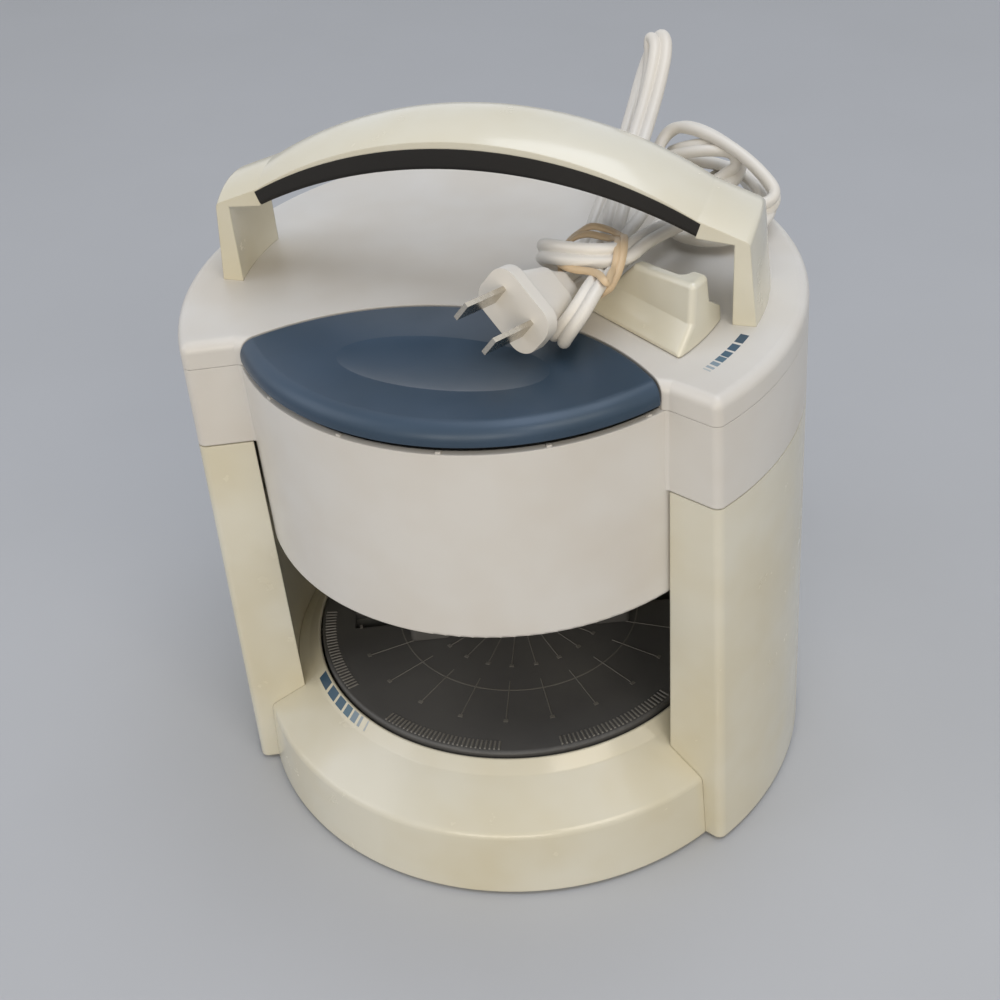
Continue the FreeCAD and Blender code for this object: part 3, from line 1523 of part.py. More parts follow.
def make_start_switch():
    low = number(frame_top)
    top = number(button_skirt) - number(s.button_travel) - 0.2
    body = Part.makeBox(20, 9, top - 1.4 - low, Vector(-10, -54.5, low))
    plunger = Part.makeCylinder(1.5, top - low - 1, Vector(0, -50, low + 1))
    return feature("start_switch", body.fuse(plunger).removeSplitter())


def make_circuit_board():
    low = number(frame_top)
    board = Part.makeBox(44, 30, 1.6, Vector(-62, -8, low + 3))
    legs = [
        Part.makeCylinder(2.0, 3.0, Vector(x, y, low)) for x in (-58, -22) for y in (-4, 18)
    ]
    return feature("circuit_board", board.fuse(legs).removeSplitter())


def make_board_parts():
    low = number(frame_top) + 4.6
    blocks = [
        Part.makeBox(14, 12, 5.5, Vector(-58, 2, low)),
        Part.makeBox(8, 16, 4.0, Vector(-38, 0, low)),
        Part.makeCylinder(3.0, 5.5, Vector(-25, 4, low)),
    ]
    return feature("board_parts", Part.makeCompound(blocks))


def make_guide_rods():
    top = lift_seam_height + s.lift_gap + s.wall + s.rod_seat - 0.5
    rods = [
        cylinder(f"guide_rod{i}", s.rod_radius, top - s.rod_bottom, s.rod_bottom,
                 side * s.rod_circle)
        for i, side in enumerate((-1, 1))
    ]
    return node(group("guide_rods", *rods), "guide_rods")


def make_cap_screws():
    """Screws that hold the handle's legs from under the deck."""
    head_low = number(s.deck_height - s.wall) - number(s.screw_head_height)
    screws = []
    for spot in handle_screw_spots():
        screws.append(screw(Vector(spot.x, spot.y, head_low), number(s.wall) + 8))
    return feature("handle_screws", Part.makeCompound(screws))


# ---------------------------------------------------------------- handle

def arc_at(half_span, top, radius):
    """The height of an arch's arc at its half span."""
    return top - radius + math.sqrt(radius**2 - half_span**2)


def crown_face(start, normal, depth):
    """The handle's section; start is the middle between its top's two side edges."""
    half, crown = number(s.handle_half_width), number(s.handle_crown)
    side = Vector(0, half, 0)
    corners = [start + side, start - side, start - side - normal * depth]
    corners.append(start + side - normal * depth)
    edges = [
        Part.Arc(corners[0], start + normal * crown, corners[1]).toShape(),
        Part.makeLine(corners[1], corners[2]),
        Part.makeLine(corners[2], corners[3]),
        Part.makeLine(corners[3], corners[0]),
    ]
    return Part.Face(Part.Wire(edges))


def make_handle():
    half = number(s.handle_half_width)
    radius, span = number(s.arch_radius), number(s.shoulder_bend)
    edge_radius = radius - number(s.handle_crown)
    centre = Vector(0, 0, number(handle_top) - radius)
    turn = math.degrees(math.asin(span / edge_radius))
    section = crown_face(centre + UP * edge_radius, UP, 36)
    section.rotate(centre, Vector(0, 1, 0), -turn - 5)
    strap = section.revolve(centre, Vector(0, 1, 0), 2 * turn + 10)
    grip_room = Part.makeCylinder(
        number(s.grip_top_radius), 4 * half,
        Vector(0, -2 * half, number(grip_top) - number(s.grip_top_radius)), Vector(0, 1, 0),
    )
    keep = Part.makeBox(2 * span + 8, 2 * half, 80, Vector(-span - 4, -half, number(web_height)))
    strap = strap.common(keep).cut(grip_room)
    legs = [make_leg(side, grip_room) for side in (-1, 1)]
    return feature("handle", strap.fuse(legs).removeSplitter())


def make_leg(side, grip_room):
    """A leg with its shoulder: the crown runs on from the arch in a shallower slope."""
    half = number(s.handle_half_width)
    deck, high = number(s.deck_height), number(handle_top) + 10
    inner, outer = number(s.leg_inner_radius), number(s.leg_outer_radius)
    wide, edge_height = number(s.shoulder_radius), number(shoulder_height)
    web, bend = number(web_height), number(s.shoulder_bend)
    grip_top_end, grip_low_end = number(s.arch_half_span), number(s.grip_half_span)
    grip_end = arc_at(grip_top_end, number(grip_top), number(s.grip_top_radius))
    grip_low = arc_at(grip_low_end, number(grip_bottom), number(s.grip_bottom_radius))

    def at(x, z):
        return Vector(side * x, -half, z)

    corners = [
        at(inner - 2, deck), at(outer, deck), at(outer, high), at(grip_top_end, high),
        at(grip_top_end, grip_end), at(grip_low_end, grip_low), at(inner - 2, web),
    ]
    web_part = Part.Face(Part.makePolygon(corners + corners[:1])).extrude(Vector(0, 2 * half, 0))

    radius = number(s.arch_radius)
    bend_height = arc_at(
        bend, number(handle_top) - number(s.handle_crown), radius - number(s.handle_crown)
    )
    bend_point = Vector(side * bend, 0, bend_height)
    front_reach = math.sqrt(wide**2 - half**2)
    way = (Vector(side * front_reach, 0, edge_height) - bend_point).normalize()
    normal = Vector(-way.z * side, 0, way.x * side)
    bar = crown_face(bend_point - way * 4, normal, 70).extrude(way * 40)
    tongue_end = Part.makeBox(
        grip_top_end + 1, 2 * half, 100,
        Vector(0 if side > 0 else -grip_top_end - 1, -half, web),
    )
    tongue = bar.common(tongue_end).cut(grip_room)

    slope = (wide - outer) / (edge_height - deck)
    height = high - deck
    rounder = Part.makeCone(outer, outer + slope * height, height, Vector(0, 0, deck))
    hollow = Part.makeCylinder(inner, web - deck, Vector(0, 0, deck))
    for shape in (rounder, hollow):
        shape.rotate(Vector(), UP, 90)
    leg = web_part.common(bar).common(rounder).cut(hollow)
    outer_top = [
        e for e in leg.Edges
        if all(v.Z > web and math.hypot(v.X, v.Y) > wide - 2 for v in e.Vertexes)
        and e.Length > half
    ]
    leg = leg.makeFillet(number(s.shoulder_edge), outer_top)
    for spot in handle_screw_spots():
        leg = leg.cut(Part.makeCylinder(number(s.screw_radius), 12, Vector(spot.x, spot.y, deck - 1)))
    return leg.fuse(tongue)


def make_grip_insert():
    half = number(s.handle_half_width)
    span, grip_span = number(s.arch_half_span), number(s.grip_half_span)
    upper = arc_at(span, number(grip_top), number(s.grip_top_radius))
    lower = arc_at(grip_span, number(grip_bottom), number(s.grip_bottom_radius))

    def at(x, z):
        return Vector(x, -half, z)

    edges = [
        Part.Arc(at(-span, upper), at(0, number(grip_top)), at(span, upper)).toShape(),
        Part.makeLine(at(span, upper), at(grip_span, lower)),
        Part.Arc(at(grip_span, lower), at(0, number(grip_bottom)), at(-grip_span, lower)).toShape(),
        Part.makeLine(at(-grip_span, lower), at(-span, upper)),
    ]
    insert = Part.Face(Part.Wire(edges)).extrude(Vector(0, 2 * half, 0))
    bottom_edges = [
        e for e in insert.Edges
        if abs(abs(e.Vertexes[0].Point.y) - half) < 1e-6 and len(e.Vertexes) == 2
        and abs(e.Vertexes[0].Point.z - lower) < 1e-3 and abs(e.Vertexes[1].Point.z - lower) < 1e-3
        and abs(e.Vertexes[0].Point.y - e.Vertexes[1].Point.y) < 1e-6
    ]
    insert = insert.makeFillet(1.5, bottom_edges)
    return feature("grip_insert", insert)


# ---------------------------------------------------------------- cord and plug

relief_start = polar(outer_radius(relief_height), s.relief_angle, relief_height)
relief_way = polar(1, s.relief_angle)
relief_end = relief_start + relief_way * number(s.relief_length)

CORD_ROUTE = [
    relief_end,
    relief_end + relief_way * 30.0,
    Vector(44.0, 166.0, 139.0),
    Vector(66.0, 156.0, 124.0),
    Vector(78.0, 130.0, 122.0),
    Vector(76.0, 106.0, 138.0),
    Vector(68.0, 87.0, 189.4),
    Vector(52.0, 52.0, 188.8),
]


def make_strain_relief():
    wall = number(s.wall)
    flange = Part.makeCylinder(6.4, 1.6, relief_start - relief_way * (wall + 2.2), relief_way)
    neck = Part.makeCylinder(4.4, wall + 1.2, relief_start - relief_way * (wall + 0.8), relief_way)
    collar = Part.makeCylinder(6.4, 1.6, relief_start + relief_way * 0.3, relief_way)
    sleeve = Part.makeCone(
        5.4, number(s.relief_tip_radius), number(s.relief_length) - 1.9,
        relief_start + relief_way * 1.9, relief_way,
    )
    return feature("strain_relief", flange.fuse([neck, collar, sleeve]).removeSplitter())


def rounded_route(points):
    """Straight runs joined by tangent arcs, each as large as its two runs allow."""
    edges, radii = [], []
    start = points[0]
    for before, corner, after in zip(points, points[1:], points[2:]):
        incoming, outgoing = corner - before, after - corner
        shorter = min(incoming.Length, outgoing.Length)
        turn = incoming.getAngle(outgoing)
        radius = 0.45 * shorter / math.tan(turn / 2)
        radii.append(radius)
        trim = 0.45 * shorter
        first = corner - incoming.normalize() * trim
        last = corner + outgoing.normalize() * trim
        bisector = (outgoing - incoming).normalize()
        middle = corner + bisector * (radius / math.cos(turn / 2) - radius)
        edges.append(Part.LineSegment(start, first).toShape())
        edges.append(Part.Arc(first, middle, last).toShape())
        start = last
    edges.append(Part.LineSegment(start, points[-1]).toShape())
    return Part.Wire(edges), radii


def make_cord_tail():
    path, radii = rounded_route(CORD_ROUTE)
    print("cord radii", [round(r, 1) for r in radii], "length", round(path.Length, 1))
    radius = number(s.cord_width) / 2
    way = CORD_ROUTE[1] - CORD_ROUTE[0]
    circle = Part.Wire(Part.makeCircle(radius, CORD_ROUTE[0], way))
    pipe = path.makePipeShell([circle], True, False)
    wanted = math.pi * radius**2 * path.Length
    print("cord volume share", round(pipe.Volume / wanted, 4))
    return feature("cord_tail", pipe)


def slab(start, end, width, thickness, flat):
    """A bar with rounded ends from start to end; flat is roughly the direction of its thickness."""
    along = (end - start).normalize()
    across = along.cross(flat).normalize()
    normal = across.cross(along).normalize()
    half = width / 2
    low = normal * (-thickness / 2)
    corners = [start + across * half, end + across * half, end - across * half, start - across * half]
    edges = [
        Part.makeLine(corners[0] + low, corners[1] + low),
        Part.Arc(corners[1] + low, end + along * half + low, corners[2] + low).toShape(),
        Part.makeLine(corners[2] + low, corners[3] + low),
        Part.Arc(corners[3] + low, start - along * half + low, corners[0] + low).toShape(),
    ]
    return Part.Face(Part.Wire(edges)).extrude(normal * thickness)


def make_cord_hank():
    """The tied bundle and the loops that fan out of it, as one closed solid."""
    parts = [
        slab(Vector(32.5, 14, 196.5), Vector(32.5, 4, 196.5), 17, 16, UP),
        slab(Vector(24, -6, 202), Vector(41, -6, 202), 8, 9, UP),
        slab(Vector(41, -6, 202), Vector(41, -24, 201.5), 7, 8, UP),
        slab(Vector(41, -24, 201.5), Vector(40.5, -37.5, 192.5), 7, 8, UP),
        slab(Vector(32.4, 12, 199), Vector(33.5, 73.5, 223.5), 16.6, 9, UP),
        slab(Vector(47, 27, 199.5), Vector(66, 62, 199.5), 26, 10.5, UP),
    ]
    way = plug_axes()[0]
    parts.append(Part.makeCylinder(4.0, 18.0, PLUG_MIDDLE - way * PLUG_LENGTH, -way))
    # the tail runs on under the bundle and turns up into it
    radius = number(s.cord_width) / 2
    tail_end = CORD_ROUTE[-1]
    tail_way = (tail_end - CORD_ROUTE[-2]).normalize()
    corner = tail_end + tail_way * 8
    parts.append(Part.makeCylinder(radius, 8, tail_end, tail_way))
    parts.append(Part.makeSphere(radius, corner))
    parts.append(Part.makeCylinder(radius, 9, corner))
    return parts[0].fuse(parts[1:]).removeSplitter()


PLUG_LENGTH = 25.0
PLUG_MIDDLE = Vector(21.5, -44.4, 200.4)
PLUG_WAY = Vector(-0.355, -0.918, 0.178)
PLUG_ACROSS = Vector(0.714, -0.389, -0.582)


def plug_axes():
    way = Vector(PLUG_WAY).normalize()
    across = (PLUG_ACROSS - way * PLUG_ACROSS.dot(way)).normalize()
    return way, across, way.cross(across)


def plug_section(back, length, width, corner):
    """A rounded rectangle across the plug, back behind its face."""
    way, across, thick = plug_axes()
    centre = PLUG_MIDDLE - way * back
    x, y = length / 2, width / 2
    spots = []
    for sx, sy in ((1, 1), (-1, 1), (-1, -1), (1, -1)):
        spots.append((sx, sy))
    edges = []
    diagonal = corner * (1 - math.sqrt(0.5))

    def at(a, b):
        return centre + across * a + thick * b

    ring = [
        (at(x, -y + corner), at(x, y - corner), at(x - diagonal, y - diagonal)),
        (at(x - corner, y), at(-x + corner, y), at(-x + diagonal, y - diagonal)),
        (at(-x, y - corner), at(-x, -y + corner), at(-x + diagonal, -y + diagonal)),
        (at(-x + corner, -y), at(x - corner, -y), at(x - diagonal, -y + diagonal)),
    ]
    for i, (first, last, middle) in enumerate(ring):
        edges.append(Part.makeLine(first, last))
        edges.append(Part.Arc(last, middle, ring[(i + 1) % 4][0]).toShape())
    return Part.Wire(edges)


def make_plug_body():
    flange = Part.makeLoft([plug_section(0, 25, 17, 6), plug_section(4.5, 25, 17, 6)], True)
    body = Part.makeLoft([plug_section(4.5, 20, 14, 5), plug_section(18, 16, 12, 4.5)], True)
    tail = Part.makeLoft([plug_section(18, 13, 11, 4), plug_section(PLUG_LENGTH, 9, 8.4, 3)], True)
    return flange.fuse([body, tail]).removeSplitter()


def make_plug_blades():
    way, across, thick = plug_axes()
    blades = []
    for side in (-1, 1):
        centre = PLUG_MIDDLE + across * (side * number(s.blade_spacing) / 2)
        half, flat = number(s.blade_width) / 2, number(s.blade_thickness) / 2
        corners = [
            centre + across * a + thick * b
            for a, b in ((flat, half), (-flat, half), (-flat, -half), (flat, -half))
        ]
        face = Part.Face(Part.makePolygon(corners + corners[:1]))
        blades.append(face.extrude(way * number(s.blade_length)))
    return Part.makeCompound(blades)


def make_cord_tie():
    """The rubber band round the bundle's waist."""
    middle = Vector(32.2, 8, 196.5)
    outer = Part.makeBox(19.4, 3.0, 18.6, middle - Vector(9.7, 1.5, 9.3))
    inner = Part.makeBox(17.4, 6.0, 16.4, middle - Vector(8.4, 3.0, 8.2))
    return outer.cut(inner)


# ---------------------------------------------------------------- build

make_bottom_plate()
make_rubber_feet()
make_base_shell()
make_rear_housing()
make_bay_liner()
make_spindle()
make_thrust_ring()
make_guide_bushes()
make_drive_tube_pin()
make_base_screws()
make_turntable_gear()
make_turntable_disc()
make_turntable_mat()
make_turntable_screws()
make_jar_scroll()
for side, hand in ((-1, "left"), (1, "right")):
    feature(f"jar_jaw_{hand}", jar_jaw(side))
    feature(f"jar_pad_{hand}", jar_pad(side))
    feature(f"lid_jaw_{hand}", lid_jaw(side))
    feature(f"lid_pad_{hand}", lid_pad(side))
make_drive_tube()
make_drive_rod()
make_head_gears()
make_motor_pinion()
make_idler_axle()
make_motor()
make_gearbox()
make_rod_bush()
make_upper_housing()
make_deck_plate()
make_inner_frame()
make_jaw_carrier()
feature("frame_screws", Part.makeCompound(make_frame_screws()))
make_lid_scroll()
make_release_shaft()
make_release_spring()
make_release_lever()
make_start_button()
make_button_springs()
make_start_switch()
make_circuit_board()
make_board_parts()
make_guide_rods()
make_cap_screws()
make_handle()
make_grip_insert()
make_strain_relief()
make_cord_tail()
feature("cord_hank", make_cord_hank())
feature("cord_tie", make_cord_tie())
feature("plug_body", make_plug_body())
feature("plug_blades", make_plug_blades())

doc.recompute()
faults = []
for obj in doc.Objects:
    if "Invalid" in obj.State or "Error" in obj.State:
        faults.append(f"{obj.Label}: {obj.State}")
for obj in nodes:
    if obj.Shape.isNull() or not obj.Shape.isValid() or not obj.Shape.Solids:
        faults.append(f"{obj.Label}: shape is null, not valid or has no solid")
if faults:
    sys.exit("\n".join(faults))

os.makedirs("parts", exist_ok=True)
for obj in nodes:
    obj.Shape.exportStep(f"parts/{obj.Label}.step")
print(len(nodes), "sub-parts")
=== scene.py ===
"""An electric jar opener in its real finishes, with its tied-up flat cord.

Metres in the row frame. Distances that belong to the product are given in millimetres from the
turntable's axis, as in the part's own source, and spot() turns them into the row frame.
"""

import json
import math

import bmesh
import bpy
from mathutils import Matrix, Vector


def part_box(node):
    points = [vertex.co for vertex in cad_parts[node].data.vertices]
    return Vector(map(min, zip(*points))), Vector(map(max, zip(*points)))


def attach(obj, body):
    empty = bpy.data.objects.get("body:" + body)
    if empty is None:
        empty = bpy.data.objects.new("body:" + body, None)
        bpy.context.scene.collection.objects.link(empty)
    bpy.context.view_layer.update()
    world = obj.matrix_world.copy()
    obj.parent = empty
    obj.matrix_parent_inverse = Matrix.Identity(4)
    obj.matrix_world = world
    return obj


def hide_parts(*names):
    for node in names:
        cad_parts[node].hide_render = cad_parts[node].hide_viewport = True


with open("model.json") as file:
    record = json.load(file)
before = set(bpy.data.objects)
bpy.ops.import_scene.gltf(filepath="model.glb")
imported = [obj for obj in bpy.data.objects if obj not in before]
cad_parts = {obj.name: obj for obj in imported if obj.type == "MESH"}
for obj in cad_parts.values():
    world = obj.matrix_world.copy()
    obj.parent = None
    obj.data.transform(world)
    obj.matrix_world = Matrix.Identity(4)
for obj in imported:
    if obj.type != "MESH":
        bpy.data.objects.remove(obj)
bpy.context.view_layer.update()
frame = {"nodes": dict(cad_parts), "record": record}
nodes = frame["nodes"]

mat_low, mat_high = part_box("turntable_mat")
AXIS = Vector(((mat_low.x + mat_high.x) / 2, (mat_low.y + mat_high.y) / 2, 0))
UP = Vector((0, 0, 1))
MM_IN_M = 1000


def spot(x, y, z):
    """A point given in millimetres from the turntable's axis, in the row frame."""
    return AXIS + Vector((x, y, z)) / MM_IN_M


def on_circle(radius, degrees, z):
    """A point at that radius and angle round the turntable's axis, in the row frame."""
    angle = math.radians(degrees)
    return spot(radius * math.cos(angle), radius * math.sin(angle), z)


# ---------------------------------------------------------------- camera

# Degrees round from straight in front, degrees above level, and roll; lens and sensor in mm.
CAMERA_TURN = (19.73, 37.73, -5.17)
CAMERA_PLACE = (139.5, -398.7, 421.6)
LENS, SENSOR_WIDTH = 54.09, 36


def place_camera():
    azimuth, elevation, roll = (math.radians(degrees) for degrees in CAMERA_TURN)
    back = Vector(
        (
            math.sin(azimuth) * math.cos(elevation),
            -math.cos(azimuth) * math.cos(elevation),
            math.sin(elevation),
        )
    )
    level_right = UP.cross(back).normalized()
    level_up = back.cross(level_right)
    right = math.cos(roll) * level_right + math.sin(roll) * level_up
    up = math.cos(roll) * level_up - math.sin(roll) * level_right
    turn = Matrix((right, up, back)).transposed().to_4x4()
    data = bpy.data.cameras.new("camera")
    data.sensor_width = SENSOR_WIDTH
    data.lens = LENS
    camera = bpy.data.objects.new("camera", data)
    bpy.context.scene.collection.objects.link(camera)
    camera.matrix_world = Matrix.Translation(spot(*CAMERA_PLACE)) @ turn
    bpy.context.scene.camera = camera


place_camera()


# ---------------------------------------------------------------- meshes

SPLINE_ORDER, SPLINE_STEPS = 3, 8
# How far over a strip's broad face its second line of points runs, in metres.
FACE_REACH = 0.004


def new_object(name, points, faces, smooth=True):
    """A linked mesh object with its normals outwards."""
    mesh = bpy.data.meshes.new(name)
    mesh.from_pydata([tuple(p) for p in points], [], faces)
    mesh.validate()
    bm = bmesh.new()
    bm.from_mesh(mesh)
    bmesh.ops.recalc_face_normals(bm, faces=bm.faces)
    bm.to_mesh(mesh)
    bm.free()
    for polygon in mesh.polygons:
        polygon.use_smooth = smooth
    obj = bpy.data.objects.new(name, mesh)
    bpy.context.scene.collection.objects.link(obj)
    return obj


def spline_points(points, closed):
    """Points read from the smooth NURBS line that has these control points."""
    data = bpy.data.curves.new("route", "CURVE")
    data.dimensions = "3D"
    data.resolution_u = SPLINE_STEPS
    line = data.splines.new("NURBS")
    line.points.add(len(points) - 1)
    for control, place in zip(line.points, points):
        control.co = (*place, 1)
    line.order_u = SPLINE_ORDER
    line.use_cyclic_u = closed
    line.use_endpoint_u = not closed
    carrier = bpy.data.objects.new("route", data)
    mesh = bpy.data.meshes.new_from_object(carrier)
    read = [v.co.copy() for v in mesh.vertices]
    bpy.data.objects.remove(carrier)
    bpy.data.curves.remove(data)
    bpy.data.meshes.remove(mesh)
    return read


def swept(name, middle, faced, outline, closed):
    """A strip with that outline in mm, swept along the points of middle.

    faced holds the point over the strip's broad face for each point of middle.
    """
    count, size = len(middle), len(outline)
    points, faces = [], []
    for i, here in enumerate(middle):
        before = middle[(i - 1) % count if closed else max(i - 1, 0)]
        after = middle[(i + 1) % count if closed else min(i + 1, count - 1)]
        along = (after - before).normalized()
        face = faced[i] - here
        face = (face - along * face.dot(along)).normalized()
        across = along.cross(face)
        points += [here + across * (x / MM_IN_M) + face * (y / MM_IN_M) for x, y in outline]
    for i in range(count if closed else count - 1):
        low, high = i * size, (i + 1) % count * size
        for j in range(size):
            k = (j + 1) % size
            faces.append((low + j, low + k, high + k, high + j))
    if not closed:
        faces.append(tuple(range(size)))
        faces.append(tuple(range((count - 1) * size, count * size)))
    return new_object(name, points, faces)


def ribbon(name, route, outline, closed=False):
    """A strip along a route of (place, way its broad face looks), and the strip's middle line."""
    places = [spot(*place) for place, _ in route]
    over = [
        place + Vector(face).normalized() * FACE_REACH for place, (_, face) in zip(places, route)
    ]
    middle = spline_points(places, closed)
    return swept(name, middle, spline_points(over, closed), outline, closed), middle


# ---------------------------------------------------------------- cord

# Its section in mm: how far its cores lie from its middle, their radius, half its thickness in the
# groove between them, and how far the skin goes round each core, in degrees and in steps.
CORE_OFFSET, CORE_RADIUS, GROOVE = 1.85, 1.95, 0.75
CORE_ANGLE, CORE_STEPS = 140, 10


def two_cores():
    """Section of the flat cord: two round cores side by side with a groove between them."""
    outline = []
    for side in (1, -1):
        for step in range(CORE_STEPS + 1):
            angle = math.radians(-CORE_ANGLE + 2 * CORE_ANGLE * step / CORE_STEPS)
            x = CORE_OFFSET + CORE_RADIUS * math.cos(angle)
            y = CORE_RADIUS * math.sin(angle)
            outline.append((side * x, side * y))
        outline.append((0, side * GROOVE))
    return outline


# Where the cord goes, from its strain relief to its plug, and the way its broad face looks.
CORD_ROUTE = [
    # out of the back of the head, round and up over the deck's rear edge
    ((21.3, 120.8, 158.0), (0.2, 0, 1)),
    ((26.5, 150.3, 158.0), (0.2, 0, 1)),
    ((44.0, 166.0, 139.0), (0.6, 0, 1)),
    ((66.0, 156.0, 124.0), (0.8, 0.5, 0.8)),
    ((78.0, 130.0, 122.0), (1, 0.4, 0.4)),
    ((76.0, 106.0, 138.0), (1, 0.4, 0.4)),
    ((68.0, 87.0, 189.4), (0.4, 0.8, 0.5)),
    ((52.0, 52.0, 188.8), (0, 0, 1)),
    # a curl and a small loop on the deck
    ((50.0, 38.0, 188.4), (0, 0, 1)),
    ((58.0, 29.0, 188.2), (0, 0, 1)),
    ((71.0, 29.5, 188.6), (0, 0, 1)),
    ((80.0, 40.0, 190.0), (0.2, 0, 1)),
    ((80.0, 54.0, 192.5), (0.4, 0.2, 1)),
    ((71.0, 67.0, 193.5), (0.1, 0.4, 1)),
    ((57.0, 73.5, 193.5), (0, 0.6, 0.8)),
    ((46.0, 71.5, 194.5), (-0.3, 0.5, 0.8)),
    ((42.5, 66.0, 198.0), (-0.7, 0.3, 0.6)),
    ((48.0, 58.5, 203.5), (-0.4, -0.2, 1)),
    ((58.0, 57.5, 206.5), (0, -0.2, 1)),
    ((68.0, 60.5, 205.0), (0.5, 0, 1)),
    ((70.0, 58.0, 198.0), (1, 0, 0.4)),
    ((60.0, 52.0, 193.5), (0.2, 0, 1)),
    ((51.0, 30.0, 192.5), (0, 0, 1)),
    ((44.0, 14.0, 191.0), (0, 0, 1)),
    # through the rubber band, folded back under itself beside the plug
    ((37.5, 2.0, 189.5), (0, 0, 1)),
    ((34.8, -10.0, 188.6), (0, 0, 1)),
    ((34.6, -24.0, 188.6), (0, 0, 1)),
    ((33.2, -35.0, 188.0), (0, -0.6, -0.8)),
    ((33.2, -40.8, 189.8), (-0.2, -0.9, 0.4)),
    ((39.4, -40.6, 198.6), (-0.3, -0.5, 0.9)),
    ((42.3, -29.0, 203.0), (-0.3, -0.2, 1)),
    ((43.5, -17.0, 201.0), (-0.2, 0, 1)),
    ((42.0, -6.0, 197.5), (0, 0, 1)),
    ((39.5, 6.0, 198.0), (0, 0, 1)),
    # the large loop behind the handle
    ((44.5, 22.0, 201.0), (0.2, 0, 1)),
    ((42.0, 45.0, 201.0), (-0.6, 0, 0.8)),
    ((41.0, 61.0, 203.0), (-0.8, 0.3, 0.5)),
    ((46.0, 66.5, 209.3), (-0.4, 0.4, 0.9)),
    ((56.0, 62.5, 210.0), (0.1, 0.4, 1)),
    ((68.0, 57.0, 206.6), (0.4, 0.5, 0.8)),
    ((77.5, 52.2, 201.4), (0.6, 0.5, 0.6)),
    ((84.5, 47.0, 195.4), (1, 0.2, 0)),
    ((78.5, 41.5, 192.0), (0.2, -1, -0.2)),
    ((64.0, 35.5, 197.5), (-0.2, -0.5, 0.8)),
    ((58.0, 17.0, 200.0), (-0.2, -0.5, 1)),
    # across the front of the bundle and back under it
    ((50.8, -1.5, 203.5), (-0.2, -0.6, 0.9)),
    ((47.5, -15.5, 205.0), (0, -0.75, 0.66)),
    ((38.0, -19.8, 206.3), (0, -0.75, 0.66)),
    ((27.5, -16.0, 204.5), (0, -0.75, 0.66)),
    ((20.5, -10.0, 201.5), (-0.8, -0.5, 0.3)),
    ((19.5, -3.0, 196.0), (-1, 0, 0)),
    ((23.0, 2.0, 190.5), (-0.4, 0, -1)),
    ((29.5, 8.0, 190.0), (0, 0, 1)),
    # the tall narrow loop
    ((31.0, 22.0, 196.0), (0, -0.2, 1)),
    ((33.0, 40.0, 204.0), (0, -0.5, 0.8)),
    ((34.5, 60.0, 214.5), (-0.2, -0.5, 0.8)),
    ((35.0, 76.0, 226.0), (-0.6, 0.2, 0.8)),
    ((36.5, 80.5, 235.0), (-0.4, 0.6, 0.8)),
    ((41.0, 73.5, 234.5), (0.2, -0.6, 0.6)),
    ((40.5, 60.0, 223.5), (0, -0.7, 0.7)),
    ((38.8, 46.0, 214.0), (0, -0.6, 0.8)),
    ((38.0, 30.0, 207.0), (0, -0.4, 0.9)),
    ((38.0, 16.0, 203.0), (0, -0.2, 1)),
    # into the plug
    ((38.0, 2.0, 195.5), (0.2, 0, 1)),
    ((34.5, -10.5, 194.2), (0.4, -0.3, 0.9)),
    ((30.4, -21.4, 196.0), (0.6, -0.1, 0.8)),
]

cord, cord_line = ribbon("flat_cord", CORD_ROUTE, two_cores())
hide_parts("cord_tail", "cord_hank")
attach(cord, "head")

